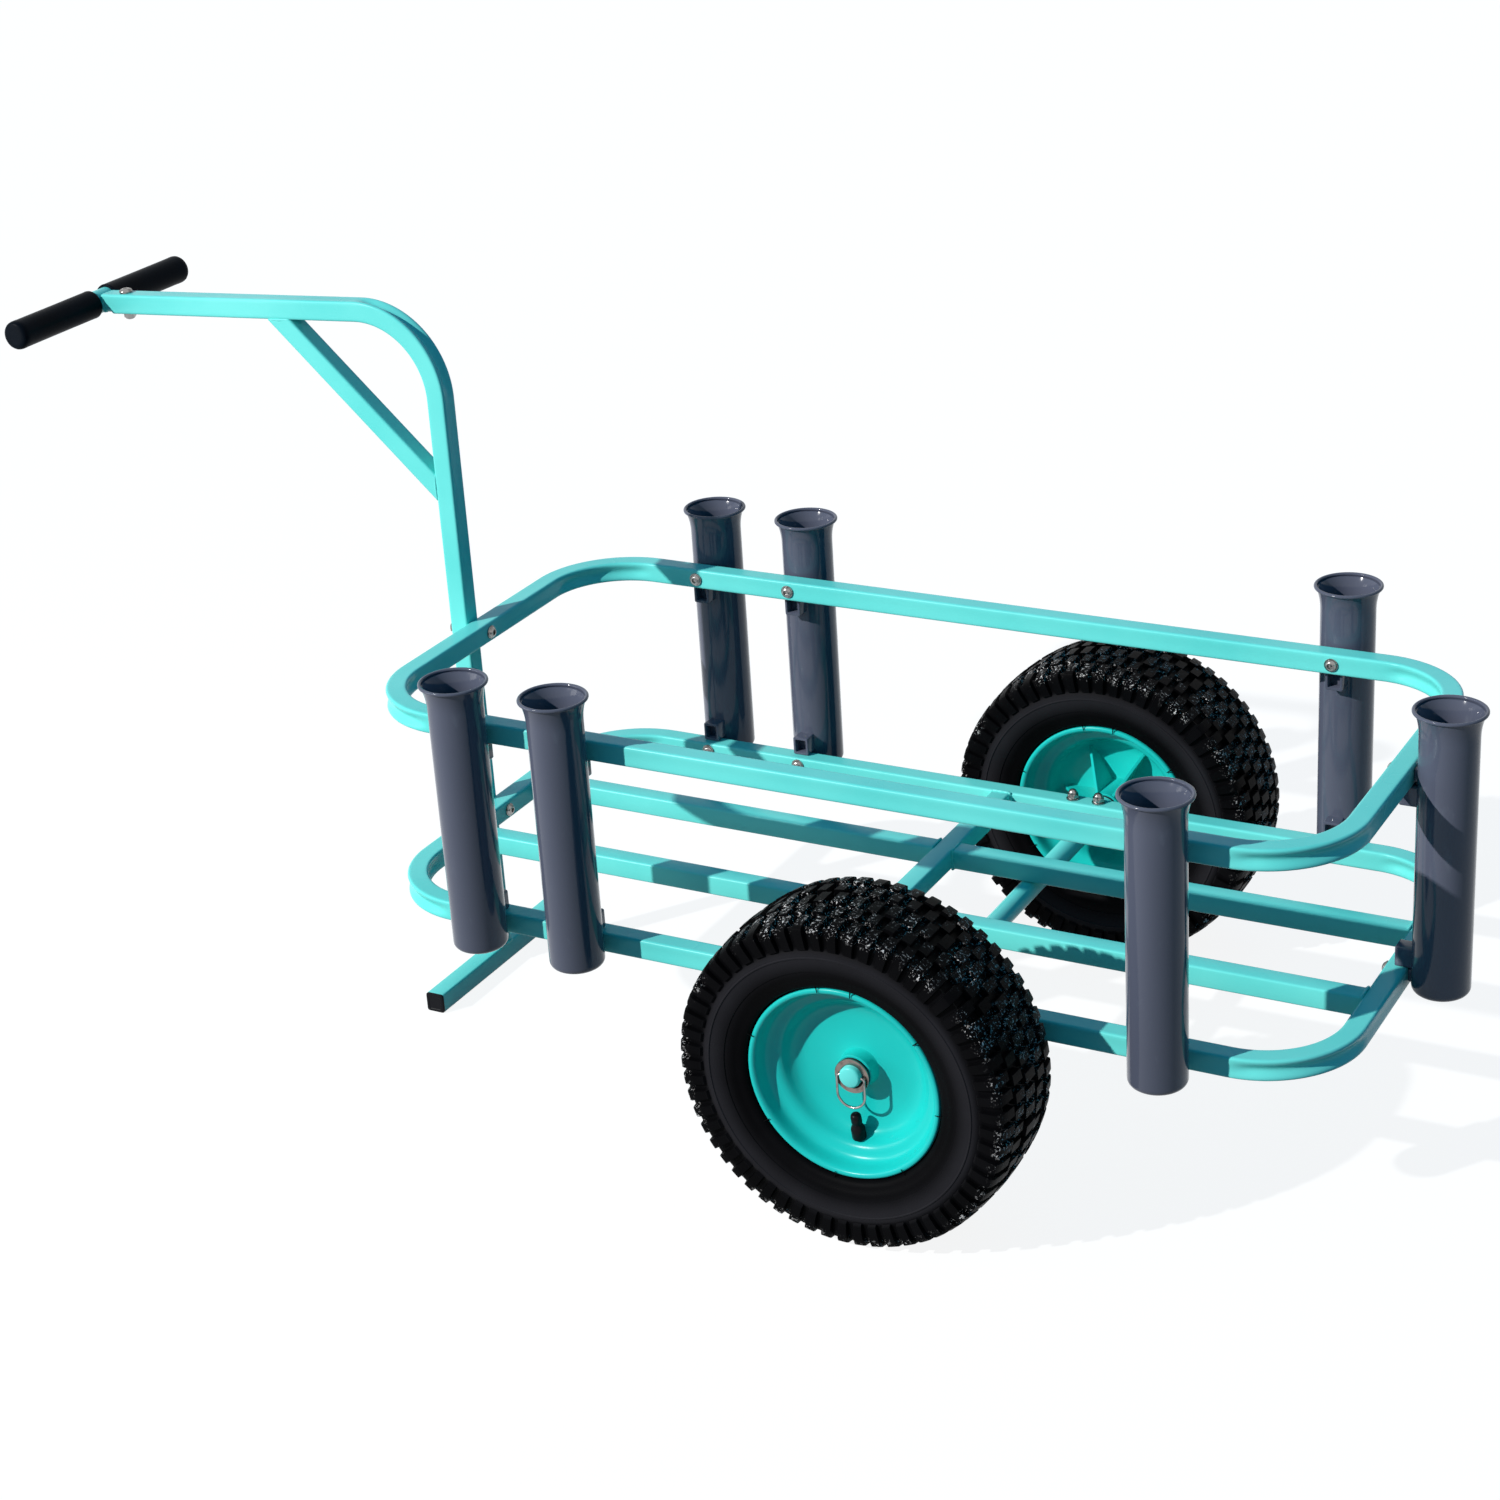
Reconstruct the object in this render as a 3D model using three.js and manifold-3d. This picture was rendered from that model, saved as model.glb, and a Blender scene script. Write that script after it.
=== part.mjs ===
// A two-wheeled fishing trolley: two loops of bent square tube held apart by seven rod holders,
// a slatted deck, an axle with pneumatic wheels, and a T-handled tow bar that ends in a ground foot.
// Lengths are in millimetres. +X runs to the rear, away from the handle, +Y to the far side, +Z up.
// The origin is on the ground, under the middle of the whole trolley.
import * as THREE from 'three';
import { mergeVertices } from 'three/addons/utils/BufferGeometryUtils.js';
import Module from 'manifold-3d';

const wasm = await Module();
wasm.setup();

// Square tube that every welded piece is made of
const tube = 19.05;
const tubeWall = 1.65;
const tubeEdge = 1.6;
const bendRadius = 78;

// The two loops and the deck
const loopLength = 910;
const loopWidth = 411;
const slatSpacing = 127;

// Clearances
const seatGap = 0.3;
const runningGap = 0.3;
const overrun = 2;

// Wheels, with the tyre's bead on the rim's seat
const wheelClearance = 20.5;
const axleOffset = 82.5;
const tyreDiameter = 300;
const tyreWidth = 101;
const shoulderDrop = 6;
const shoulderLand = 31;
const beadStep = 3;
const tyreThickness = 7;
const treadThickness = 12;
const flangeDiameter = 173.6;
const flangeSpan = 80.2;
const flangeThickness = 4.2;
const seatDiameter = 152.4;
const seatWidth = 9;
const wellDiameter = 126;
const wellWidth = 44;
const rimSheet = 2.5;
const discOffset = 6;
const discFlatDiameter = 98;
const discFillet = 4;
const hubDiameter = 32;
const hubOutboard = 19;
const hubInboard = 35;
const ribCount = 6;
const ribThickness = 3;
const ribReachShare = 0.93;
const ribRise = 4;

// Bushes between hub and axle
const bushWall = 3;
const bushLength = 18;
const bushFlangeDiameter = 29;
const bushFlange = 1.5;

// Axle, its stop collars, washers and the wire rings that keep the wheels on
const axleDiameter = 19.05;
const axleEndPastRing = 3.4;
const axleChamfer = 1.2;
const collarDiameter = 29;
const collarWidth = 8;
const washerDiameter = 31;
const washerThickness = 2;
const washerPlay = 1.4;
const ringWire = 2.2;
const ringHoleDiameter = 3.6;
const ringStandOff = 0.9;
const ringWidth = 25;
const ringDrop = 29;
const ringCornerRadius = 2.4;

// Valve in the rim's well, which points at the hub and leans outwards
const valveBaseDiameter = 12.2;
const valveBaseLength = 13;
const valveCapDiameter = 9.2;
const valveCapLength = 11;
const valveNeckDiameter = 7;
const valvePlace = 15;
const valveLean = THREE.MathUtils.degToRad(12);

// U-bolts that clamp the axle under the lower loop
const uBoltRod = 6;
const uBoltNutDiameter = 11.5;
const uBoltNutHeight = 6;
const uBoltDomeHeight = 4;

// Rod holders
const holderDiameter = 49;
const holderBore = 42;
const holderLength = 254;
const holderRimDiameter = 62.2;
const holderFlareHeight = 24;
const holderLipHeight = 3.6;
const holderFloor = 3;
const holderFoot = 7;
const holderDrainDiameter = 12;
const holderAboveLoop = 50;
const holderBelowLoop = 19.2;
const holderStandOff = 2;
const holderPadWidth = 14;
const holderPadHeight = 12;
const lowerBoltLift = 2.2;
const bossWidth = 16;
const bossHeight = 18;
const bossWall = 2.6;
const bossReach = 11;
const bossSocketDepth = 9;
const sideHolderPlaces = [-318.5, -218, 321];
const rearHolderShift = -4;

// Button-head bolts, their washers and nuts
const boltDiameter = 6;
const boltHoleDiameter = 6.8;
const boltHeadDiameter = 10.6;
const boltHeadHeight = 3.2;
const boltWasherDiameter = 12.4;
const boltWasherThickness = 1.2;
const boltSocketDiameter = 4;
const boltSocketDepth = 2;
const nutDiameter = 11;
const nutHeight = 4;

// Tow bar: foot, post, boom, brace and T-bar
const footLength = 232;
const footCapThickness = 2.4;
const footPlugLength = 14;
const postAboveLoop = 216.5;
const boomDroop = THREE.MathUtils.degToRad(3);
const boomLength = 306.8;
const boomEndGap = 0.6;
const boomCutLean = THREE.MathUtils.degToRad(31);
const braceDrop = 156;
const braceReach = 158;
const tBarDiameter = 22.2;
const tBarWall = 2;
const stemSize = 15;
const stemWall = 1.5;
const stemLength = 62;
const stemBoltPlace = 35.5;
const stemBoltHeadDiameter = 13;
const gripDiameter = 27.5;
const gripLength = 112;
const gripWall = 3;
const gripDome = 5;
const gripClearOfBoom = 2;

// Facet counts
const wheelSides = 28;
const holderSides = 16;
const boltSides = 8;
const wireSides = 6;
const bendSteps = 6;
const loopBendSteps = 3;
const flareSteps = 3;

// Heights and places that follow from the sizes above
const axleHeight = tyreDiameter / 2;
const lowerBottom = axleHeight + axleDiameter / 2 + seatGap;
const lowerMiddle = lowerBottom + tube / 2;
const loopRise = holderLength - holderAboveLoop - holderBelowLoop;
const upperMiddle = lowerMiddle + loopRise;
const upperTop = upperMiddle + tube / 2;
const halfLength = loopLength / 2;
const halfWidth = loopWidth / 2;
const holderBottom = upperTop + holderAboveLoop - holderLength;
const holderSetback = holderStandOff + holderDiameter / 2;
const trackWidth = loopWidth + tyreWidth + 2 * wheelClearance;
const hubEnd = trackWidth / 2 + hubOutboard;
const washerFace = hubEnd + 2 * seatGap + bushFlange + washerThickness;
const ringPlace = washerFace + ringWire / 2 + ringStandOff;
const wellFlat = (wellDiameter / 2 - rimSheet) * Math.cos(Math.PI / wheelSides);
const valveDip = (valveBaseDiameter / 2) * Math.tan(valveLean);
const valveSeat = Math.sqrt(wellFlat ** 2 - (valveBaseDiameter / 2) ** 2) - seatGap - valveDip;
const postX = -halfLength - tube / 2 - seatGap;
const bendCentreX = postX - bendRadius;
const bendCentreZ = upperTop + postAboveLoop;

// Turns a closed three.js geometry into a solid that can be joined and cut.
function toSolid(geometry) {
  const bare = geometry.clone();
  bare.deleteAttribute('normal');
  bare.deleteAttribute('uv');
  const merged = mergeVertices(bare);
  return new wasm.Manifold(new wasm.Mesh({
    numProp: 3,
    vertProperties: new Float32Array(merged.attributes.position.array),
    triVerts: new Uint32Array(merged.index.array),
  }));
}

// Turns a solid back into a geometry.
function toGeometry(solid) {
  const mesh = solid.getMesh();
  const geometry = new THREE.BufferGeometry();
  geometry.setAttribute('position', new THREE.BufferAttribute(new Float32Array(mesh.vertProperties), 3));
  geometry.setIndex(new THREE.BufferAttribute(new Uint32Array(mesh.triVerts), 1));
  geometry.computeVertexNormals();
  return geometry;
}

function cut(geometry, cutters) {
  return toGeometry(cutters.reduce((solid, cutter) => solid.subtract(toSolid(cutter)), toSolid(geometry)));
}

function join(geometry, others) {
  return toGeometry(others.reduce((solid, other) => solid.add(toSolid(other)), toSolid(geometry)));
}

// A path that is sampled only at its stations, which are the ends of straight runs and points on bends.
class StationPath extends THREE.Curve {
  constructor(stations) {
    super();
    this.stations = stations;
  }

  at(t) {
    return this.stations[Math.round(t * (this.stations.length - 1))];
  }

  getPoint(t) {
    return this.at(t).point.clone();
  }

  getTangent(t) {
    return this.at(t).tangent.clone();
  }

  getUtoTmapping(u) {
    return u;
  }
}

// Stations of an arc in the XZ plane, from one angle to another about a centre.
function arcStations(centreX, centreZ, radius, fromAngle, toAngle, steps) {
  const turn = Math.sign(toAngle - fromAngle);
  return Array.from({ length: steps + 1 }, (_, i) => {
    const angle = THREE.MathUtils.lerp(fromAngle, toAngle, i / steps);
    return {
      point: new THREE.Vector3(centreX + radius * Math.cos(angle), 0, centreZ + radius * Math.sin(angle)),
      tangent: new THREE.Vector3(-turn * Math.sin(angle), 0, turn * Math.cos(angle)),
    };
  });
}

function sweep(shape, stations) {
  return new THREE.ExtrudeGeometry(shape, {
    steps: stations.length - 1,
    extrudePath: new StationPath(stations),
  });
}

// A square centred on the origin, its corners cut off by a chamfer or left sharp.
function squareShape(size, chamfer) {
  const h = size / 2;
  const quarter = chamfer > 0 ? [[h, h - chamfer], [h - chamfer, h]] : [[h, h]];
  const corners = [0, 1, 2, 3].flatMap((turns) => quarter.map(([x, y]) => (
    new THREE.Vector2(x, y).rotateAround(new THREE.Vector2(), (turns * Math.PI) / 2)
  )));
  return new THREE.Shape(corners);
}

function roundShape(diameter, sides) {
  const corners = Array.from({ length: sides }, (_, i) => {
    const angle = (2 * Math.PI * (i + 1 / 2)) / sides;
    return new THREE.Vector2((diameter / 2) * Math.cos(angle), (diameter / 2) * Math.sin(angle));
  });
  return new THREE.Shape(corners);
}

// The outline of a bent loop, inset from the loop's outer face.
function loopShape(inset) {
  const x = halfLength - inset;
  const y = halfWidth - inset;
  const r = bendRadius + tube / 2 - inset;
  const shape = new THREE.Shape();
  shape.moveTo(x, r - y);
  shape.absarc(x - r, y - r, r, 0, Math.PI / 2);
  shape.absarc(r - x, y - r, r, Math.PI / 2, Math.PI);
  shape.absarc(r - x, r - y, r, Math.PI, 1.5 * Math.PI);
  shape.absarc(x - r, r - y, r, 1.5 * Math.PI, 2 * Math.PI);
  return shape;
}

// A hollow loop of square tube about the origin, with rounded long edges.
function loopGeometry() {
  const outer = loopShape(0);
  outer.holes.push(loopShape(tube));
  const body = new THREE.ExtrudeGeometry(outer, {
    depth: tube - 2 * tubeEdge,
    curveSegments: loopBendSteps,
    bevelThickness: tubeEdge,
    bevelSize: tubeEdge,
    bevelOffset: -tubeEdge,
    bevelSegments: 1,
  });
  body.translate(0, 0, tubeEdge - tube / 2);
  const inner = loopShape(tubeWall);
  inner.holes.push(loopShape(tube - tubeWall));
  const hollow = new THREE.ExtrudeGeometry(inner, {
    depth: tube - 2 * tubeWall,
    curveSegments: loopBendSteps,
    bevelEnabled: false,
  });
  hollow.translate(0, 0, tubeWall - tube / 2);
  return cut(body, [hollow]);
}

// A straight hollow square tube along X, about the origin.
function straightTube(length, size = tube, wall = tubeWall) {
  const shape = squareShape(size, tubeEdge);
  shape.holes.push(squareShape(size - 2 * wall, 0));
  const geometry = new THREE.ExtrudeGeometry(shape, { depth: length, bevelEnabled: false });
  geometry.translate(0, 0, -length / 2);
  return geometry.rotateY(Math.PI / 2);
}

// A drill along X, Y or Z, centred on a point.
function drill(axis, diameter, length, x, y, z) {
  const geometry = new THREE.CylinderGeometry(diameter / 2, diameter / 2, length, boltSides);
  if (axis === 'x') geometry.rotateZ(Math.PI / 2);
  if (axis === 'z') geometry.rotateX(Math.PI / 2);
  return geometry.translate(x, y, z);
}

// A solid of revolution about Y from a closed list of [radius, height] points.
function lathe(points, sides) {
  return new THREE.LatheGeometry(points.map(([r, y]) => new THREE.Vector2(r, y)), sides);
}

// Where the rod holders stand: the place on the loop's outer face, and the turn that faces it.
const holderSites = [
  ...[-1, 1].flatMap((side) => sideHolderPlaces.map((x, i) => ({
    name: `${side < 0 ? 'near' : 'far'}_${['front', 'middle', 'rear'][i]}`,
    x,
    y: side * halfWidth,
    turn: side < 0 ? 0 : Math.PI,
  }))),
  { name: 'rear_end', x: halfLength, y: rearHolderShift, turn: Math.PI / 2 },
];

// A loop with its bolt holes, and for the lower one the holes of the U-bolts.
function railGeometry(isLower) {
  const through = tube + 2 * overrun;
  const lift = isLower ? lowerBoltLift : 0;
  const cutters = holderSites.map((site) => (site.turn === Math.PI / 2
    ? drill('x', boltHoleDiameter, through, site.x - tube / 2, site.y, lift)
    : drill('y', boltHoleDiameter, through, site.x, site.y - (Math.sign(site.y) * tube) / 2, lift)));
  cutters.push(drill('x', boltHoleDiameter, through, tube / 2 - halfLength, 0, 0));
  if (isLower) {
    for (const y of [-1, 1]) {
      for (const x of [-1, 1]) {
        cutters.push(drill('z', uBoltRod + 2 * seatGap, through,
          axleOffset + x * uBoltLegPlace(), y * (halfWidth - tube / 2), 0));
      }
    }
  }
  return cut(loopGeometry(), cutters);
}

function uBoltLegPlace() {
  return axleDiameter / 2 + seatGap + uBoltRod / 2;
}

// The round rod under the lower loop, with a stop collar inside each wheel and a ring hole at each end.
function axleGeometry() {
  const end = ringPlace + axleEndPastRing;
  const stop = trackWidth / 2 - hubInboard - bushFlange - 2 * seatGap;
  const r = axleDiameter / 2;
  const tip = r - axleChamfer;
  const rod = lathe([
    [0, -end], [tip, -end], [r, axleChamfer - end], [r, -stop], [collarDiameter / 2, -stop],
    [collarDiameter / 2, collarWidth - stop], [r, collarWidth - stop],
    [r, stop - collarWidth], [collarDiameter / 2, stop - collarWidth],
    [collarDiameter / 2, stop], [r, stop], [r, end - axleChamfer], [tip, end], [0, end],
  ], holderSides);
  const holes = [-1, 1].map((side) => drill('x', ringHoleDiameter, axleDiameter + 2 * overrun,
    0, side * ringPlace, 0));
  return cut(rod, holes);
}

// A U-bolt with its two cap nuts on the lower loop.
function uBoltGeometry() {
  const leg = uBoltLegPlace();
  const railTop = lowerBottom + tube - axleHeight;
  const legTop = railTop + uBoltNutHeight;
  const down = new THREE.Vector3(0, 0, -1);
  const up = new THREE.Vector3(0, 0, 1);
  const rod = sweep(roundShape(uBoltRod, wireSides), [
    { point: new THREE.Vector3(-leg, 0, legTop), tangent: down },
    ...arcStations(0, 0, leg, Math.PI, 2 * Math.PI, bendSteps),
    { point: new THREE.Vector3(leg, 0, legTop), tangent: up },
  ]);
  const nuts = [-1, 1].map((side) => {
    const r = uBoltNutDiameter / 2;
    const nut = lathe([
      [0, 0], [r, 0], [r, uBoltNutHeight - seatGap],
      [r * Math.SQRT1_2, uBoltNutHeight + uBoltDomeHeight * Math.SQRT1_2],
      [0, uBoltNutHeight + uBoltDomeHeight],
    ], boltSides);
    return nut.rotateX(Math.PI / 2).translate(side * leg, 0, railTop + seatGap);
  });
  return join(rod, nuts);
}

// The pressed steel rim with its hub tube, inner ribs and valve hole, about the wheel's middle plane.
function rimGeometry() {
  const bore = axleDiameter / 2 + runningGap + bushWall + seatGap;
  const hub = hubDiameter / 2;
  const lip = flangeDiameter / 2;
  const seat = seatDiameter / 2;
  const well = wellDiameter / 2;
  const outside = flangeSpan / 2;
  const inside = outside - flangeThickness;
  const seatEnd = inside - seatWidth;
  const flat = discFlatDiameter / 2;
  const back = discOffset - rimSheet;
  const wellFloor = well - rimSheet;
  const seatFloor = seat - rimSheet;
  const profile = [
    [bore, hubOutboard], [bore, -hubInboard], [hub, -hubInboard], [hub, back], [flat, back],
    [wellFloor, back - discFillet], [wellFloor, -wellWidth / 2], [seatFloor, -seatEnd],
    [seatFloor, -inside], [lip, -outside], [lip, -inside], [seat, -inside], [seat, -seatEnd],
    [well, -wellWidth / 2], [well, wellWidth / 2],
    [seat, seatEnd], [seat, inside], [lip, inside], [lip, outside], [seatFloor, inside],
    [seatFloor, seatEnd], [wellFloor, wellWidth / 2], [wellFloor, discOffset + discFillet],
    [flat, discOffset], [hub, discOffset], [hub, hubOutboard], [bore, hubOutboard],
  ];
  const ribs = Array.from({ length: ribCount }, (_, i) => {
    const reach = wellFloor * ribReachShare;
    const start = (bore + hub) / 2;
    const shape = new THREE.Shape([
      new THREE.Vector2(start, back + rimSheet / 2),
      new THREE.Vector2(start, -hubInboard + bushFlange),
      new THREE.Vector2(hub + bushFlange, -hubInboard + bushFlange),
      new THREE.Vector2(reach, back - ribRise),
      new THREE.Vector2(reach, back + rimSheet / 2 - discFillet / 2),
    ]);
    const rib = new THREE.ExtrudeGeometry(shape, { depth: ribThickness, bevelEnabled: false });
    return rib.translate(0, 0, -ribThickness / 2).rotateY((2 * Math.PI * i) / ribCount);
  });
  const hole = drill('z', valveNeckDiameter + 2 * seatGap, 2 * (rimSheet + valveBaseLength), 0, 0, 0)
    .rotateX(-valveLean)
    .translate(0, valvePlace, -valveSeat);
  return cut(join(lathe(profile, wheelSides), ribs), [hole]);
}

// The tyre's casing, open at the beads.
function tyreGeometry() {
  const crown = tyreDiameter / 2;
  const shoulder = crown - shoulderDrop;
  const side = tyreWidth / 2;
  const lip = flangeDiameter / 2 + seatGap;
  const seat = seatDiameter / 2 + seatGap;
  const beadFace = flangeSpan / 2 - flangeThickness - seatGap;
  const beadToe = beadFace - seatWidth + tyreThickness / 2;
  const middle = (shoulder + lip) / 2;
  const half = [
    [seat, beadToe], [seat, beadFace], [lip + beadStep, beadFace], [middle, side], [shoulder, side],
    [crown - shoulderDrop / 4, shoulderLand], [crown, 0],
  ];
  const inner = [
    [shoulder - treadThickness, side - 2 * tyreThickness], [middle, side - tyreThickness],
    [lip + tyreThickness, beadToe],
  ];
  const mirror = ([r, y]) => [r, -y];
  const profile = [
    ...half, ...half.slice(0, -1).reverse().map(mirror),
    ...inner.slice().reverse().map(mirror), ...inner, half[0],
  ];
  return lathe(profile.reverse(), wheelSides);
}

// A flanged plastic bush whose flange lies against the hub's end.
function bushGeometry() {
  const bore = axleDiameter / 2 + runningGap;
  const outer = seatGap + bushFlange;
  return lathe([
    [bore, outer], [bore, -bushLength], [bore + bushWall, -bushLength], [bore + bushWall, seatGap],
    [bushFlangeDiameter / 2, seatGap], [bushFlangeDiameter / 2, outer], [bore, outer],
  ], holderSides);
}

// A washer with a loose bore, so that it hangs lower than the axle's middle.
function washerGeometry() {
  const bore = axleDiameter / 2 + washerPlay;
  const r = washerDiameter / 2;
  return lathe([[bore, washerThickness], [bore, 0], [r, 0], [r, washerThickness], [bore, washerThickness]],
    holderSides);
}

// A wire ring with a straight top that runs through the axle.
function keeperRingGeometry() {
  const half = ringWidth / 2;
  const r = ringCornerRadius;
  const stations = [
    { point: new THREE.Vector3(0, 0, 0), tangent: new THREE.Vector3(1, 0, 0) },
    ...arcStations(half - r, -r, r, Math.PI / 2, 0, 2),
    ...arcStations(0, half - ringDrop, half, 0, -Math.PI, bendSteps + 2),
    ...arcStations(r - half, -r, r, Math.PI, Math.PI / 2, 2),
    { point: new THREE.Vector3(-seatGap, 0, 0), tangent: new THREE.Vector3(1, 0, 0) },
  ];
  return sweep(roundShape(ringWire, wireSides), stations);
}

// A rubber valve body with its cap, pointing up along Z from the rim's well. It leans, so its two
// flanges stand off the sheet by the dip of their edges.
function valveGeometry() {
  const base = valveBaseDiameter / 2;
  const cap = valveCapDiameter / 2;
  const neck = valveNeckDiameter / 2;
  const wall = (wellDiameter / 2 - valveSeat) / Math.cos(valveLean) + seatGap + valveDip;
  return lathe([
    [0, -wall - rimSheet], [base, -wall - rimSheet], [base, -wall], [neck, -wall], [neck, 0], [base, 0],
    [base, valveBaseLength / 2], [cap, valveBaseLength], [cap, valveBaseLength + valveCapLength * (2 / 3)],
    [cap / 2, valveBaseLength + valveCapLength], [0, valveBaseLength + valveCapLength],
  ], boltSides).rotateX(Math.PI / 2);
}

// A rod holder that stands on Z = 0 with its rail side at +Y.
function holderGeometry() {
  const r = holderDiameter / 2;
  const bore = holderBore / 2;
  const rim = holderRimDiameter / 2;
  const wall = r - bore;
  const flareStart = holderLength - holderFlareHeight;
  const flare = (inset) => Array.from({ length: flareSteps }, (_, i) => {
    const share = (i + 1) / flareSteps;
    return [r - inset + (rim - r) * share ** 2, flareStart + (holderFlareHeight - holderLipHeight) * share];
  });
  const body = lathe([
    [holderDrainDiameter / 2, 0], [r - holderFoot / 2, 0], [r, holderFoot], [r, flareStart], ...flare(0),
    [rim - holderLipHeight / 2, holderLength], [rim - wall, holderLength - holderLipHeight / 2],
    ...flare(wall).reverse().slice(1), [bore, flareStart], [bore, holderFloor],
    [holderDrainDiameter / 2, holderFloor], [holderDrainDiameter / 2, 0],
  ], holderSides).rotateX(Math.PI / 2).rotateZ(Math.PI / holderSides);
  const inWall = bore + wall / 2;
  const padEnd = r + holderStandOff - seatGap;
  const block = (width, height, from, to, z) => new THREE.BoxGeometry(width, to - from, height)
    .translate(0, (from + to) / 2, z);
  const boltLevels = [upperMiddle, lowerMiddle + lowerBoltLift].map((z) => z - holderBottom);
  const bossLevels = [
    upperMiddle - (tube + bossHeight) / 2 - seatGap,
    lowerMiddle + (tube + bossHeight) / 2 + seatGap,
  ].map((z) => z - holderBottom);
  const bossEnd = r + holderStandOff + bossReach;
  const blocks = [
    ...boltLevels.map((z) => block(holderPadWidth, holderPadHeight, inWall, padEnd, z)),
    ...bossLevels.map((z) => block(bossWidth, bossHeight, inWall, bossEnd, z)),
  ];
  const cutters = [
    ...boltLevels.map((z) => drill('y', boltHoleDiameter, 2 * (padEnd - inWall + wall), 0, inWall, z)),
    ...bossLevels.map((z) => block(bossWidth - 2 * bossWall, bossHeight - 2 * bossWall,
      bossEnd - bossSocketDepth, bossEnd + overrun, z)),
  ];
  return cut(join(body, blocks), cutters);
}

// A button-head bolt along Y with its washer under the head at Y = 0 and its nut at the other end.
function boltGeometry(gripLengthUnderHead, headDiameter = boltHeadDiameter, domed = false) {
  const shank = boltDiameter / 2;
  const head = headDiameter / 2;
  const nut = nutDiameter / 2;
  const washer = Math.max(boltWasherDiameter / 2, head + boltWasherThickness / 2);
  const start = seatGap;
  const seat = start + boltWasherThickness;
  const nutFace = -gripLengthUnderHead - seatGap;
  const nutEnd = nutFace - nutHeight;
  const tail = domed
    ? [[0, nutEnd - nut / 2], [nut * (2 / 3), nutEnd - nut / 4], [nut, nutEnd]]
    : [[0, nutEnd], [nut, nutEnd]];
  return lathe([
    ...tail, [nut, nutFace], [shank, nutFace], [shank, start], [washer, start], [washer, seat],
    [head, seat], [head * (2 / 3), seat + boltHeadHeight], [boltSocketDiameter / 2, seat + boltHeadHeight],
    [boltSocketDiameter / 2, seat + boltHeadHeight - boltSocketDepth],
    [0, seat + boltHeadHeight - boltSocketDepth],
  ], boltSides);
}

// The tow bar's one bent tube: post, bend and boom, with its bolt holes and slanted end.
function handleTubeGeometry() {
  const up = new THREE.Vector3(0, 0, 1);
  const endAngle = Math.PI / 2 + boomDroop;
  const arc = arcStations(bendCentreX, bendCentreZ, bendRadius, 0, endAngle, bendSteps);
  const bendEnd = arc[arc.length - 1];
  const reach = boomLength - tBarDiameter / 2 - boomEndGap;
  const along = (distance) => bendEnd.point.clone().addScaledVector(bendEnd.tangent, distance);
  const path = (extra) => [
    { point: new THREE.Vector3(postX, 0, tube - extra), tangent: up },
    ...arc,
    { point: along(reach + extra), tangent: bendEnd.tangent },
  ];
  const outside = sweep(squareShape(tube, tubeEdge), path(0));
  const inside = sweep(squareShape(tube - 2 * tubeWall, 0), path(overrun));
  const through = tube + 2 * overrun;
  const slant = new THREE.BoxGeometry(tube, 2 * tube, 3 * tube)
    .translate(-tube / 2, 0, 0)
    .rotateY(-boomDroop - boomCutLean)
    .translate(along(reach).x, 0, along(reach).z)
    .translate((Math.tan(boomCutLean) * tube) / 2, 0, 0);
  const stemBolt = drill('z', boltHoleDiameter, through, 0, 0, 0)
    .rotateY(-boomDroop)
    .translate(along(boomLength - stemBoltPlace).x, 0, along(boomLength - stemBoltPlace).z);
  return cut(outside, [
    inside, slant, stemBolt,
    drill('x', boltHoleDiameter, through, postX, 0, upperMiddle),
    drill('x', boltHoleDiameter, through, postX, 0, lowerMiddle),
  ]);
}

// The straight diagonal tube between post and boom, cut to lie along both.
function braceGeometry() {
  const face = postX - tube / 2 - seatGap;
  const corner = boomUnderside(face);
  const low = new THREE.Vector3(face, 0, corner - braceDrop);
  const high = new THREE.Vector3(face - braceReach, 0, boomUnderside(face - braceReach));
  const run = high.clone().sub(low);
  const big = 3 * tube;
  const brace = straightTube(run.length() + 2 * tube)
    .rotateY(-Math.atan2(run.z, run.x))
    .translate((low.x + high.x) / 2, 0, (low.z + high.z) / 2);
  const postSide = new THREE.BoxGeometry(big, big, 4 * big).translate(face + big / 2, 0, low.z);
  const boomSide = new THREE.BoxGeometry(4 * big, big, big)
    .translate(0, 0, big / 2)
    .rotateY(-boomDroop)
    .translate(high.x, 0, high.z);
  return cut(brace, [postSide, boomSide]);
}

// The height of the boom's underside, less the seat gap, at a place along the trolley.
function boomUnderside(x) {
  const start = bendCentreX - bendRadius * Math.sin(boomDroop);
  const axis = bendCentreZ + bendRadius * Math.cos(boomDroop) + (x - start) * Math.tan(boomDroop);
  return axis - (tube / 2 + seatGap) / Math.cos(boomDroop);
}

// The T-bar about its own middle: a round cross tube along Y with a square stem that slides into the boom.
function tBarGeometry() {
  const halfBar = tube / 2 + gripClearOfBoom + gripLength - gripWall - seatGap;
  const r = tBarDiameter / 2;
  const bar = lathe([[r - tBarWall, halfBar], [r - tBarWall, -halfBar], [r, -halfBar], [r, halfBar],
    [r - tBarWall, halfBar]], holderSides);
  const stem = straightTube(stemLength, stemSize, stemWall)
    .translate(r - tBarWall / 2 + stemLength / 2, 0, 0);
  return cut(join(bar, [stem]), [
    drill('z', boltHoleDiameter, tube + 2 * overrun, stemBoltPlace, 0, 0),
  ]);
}

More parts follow.
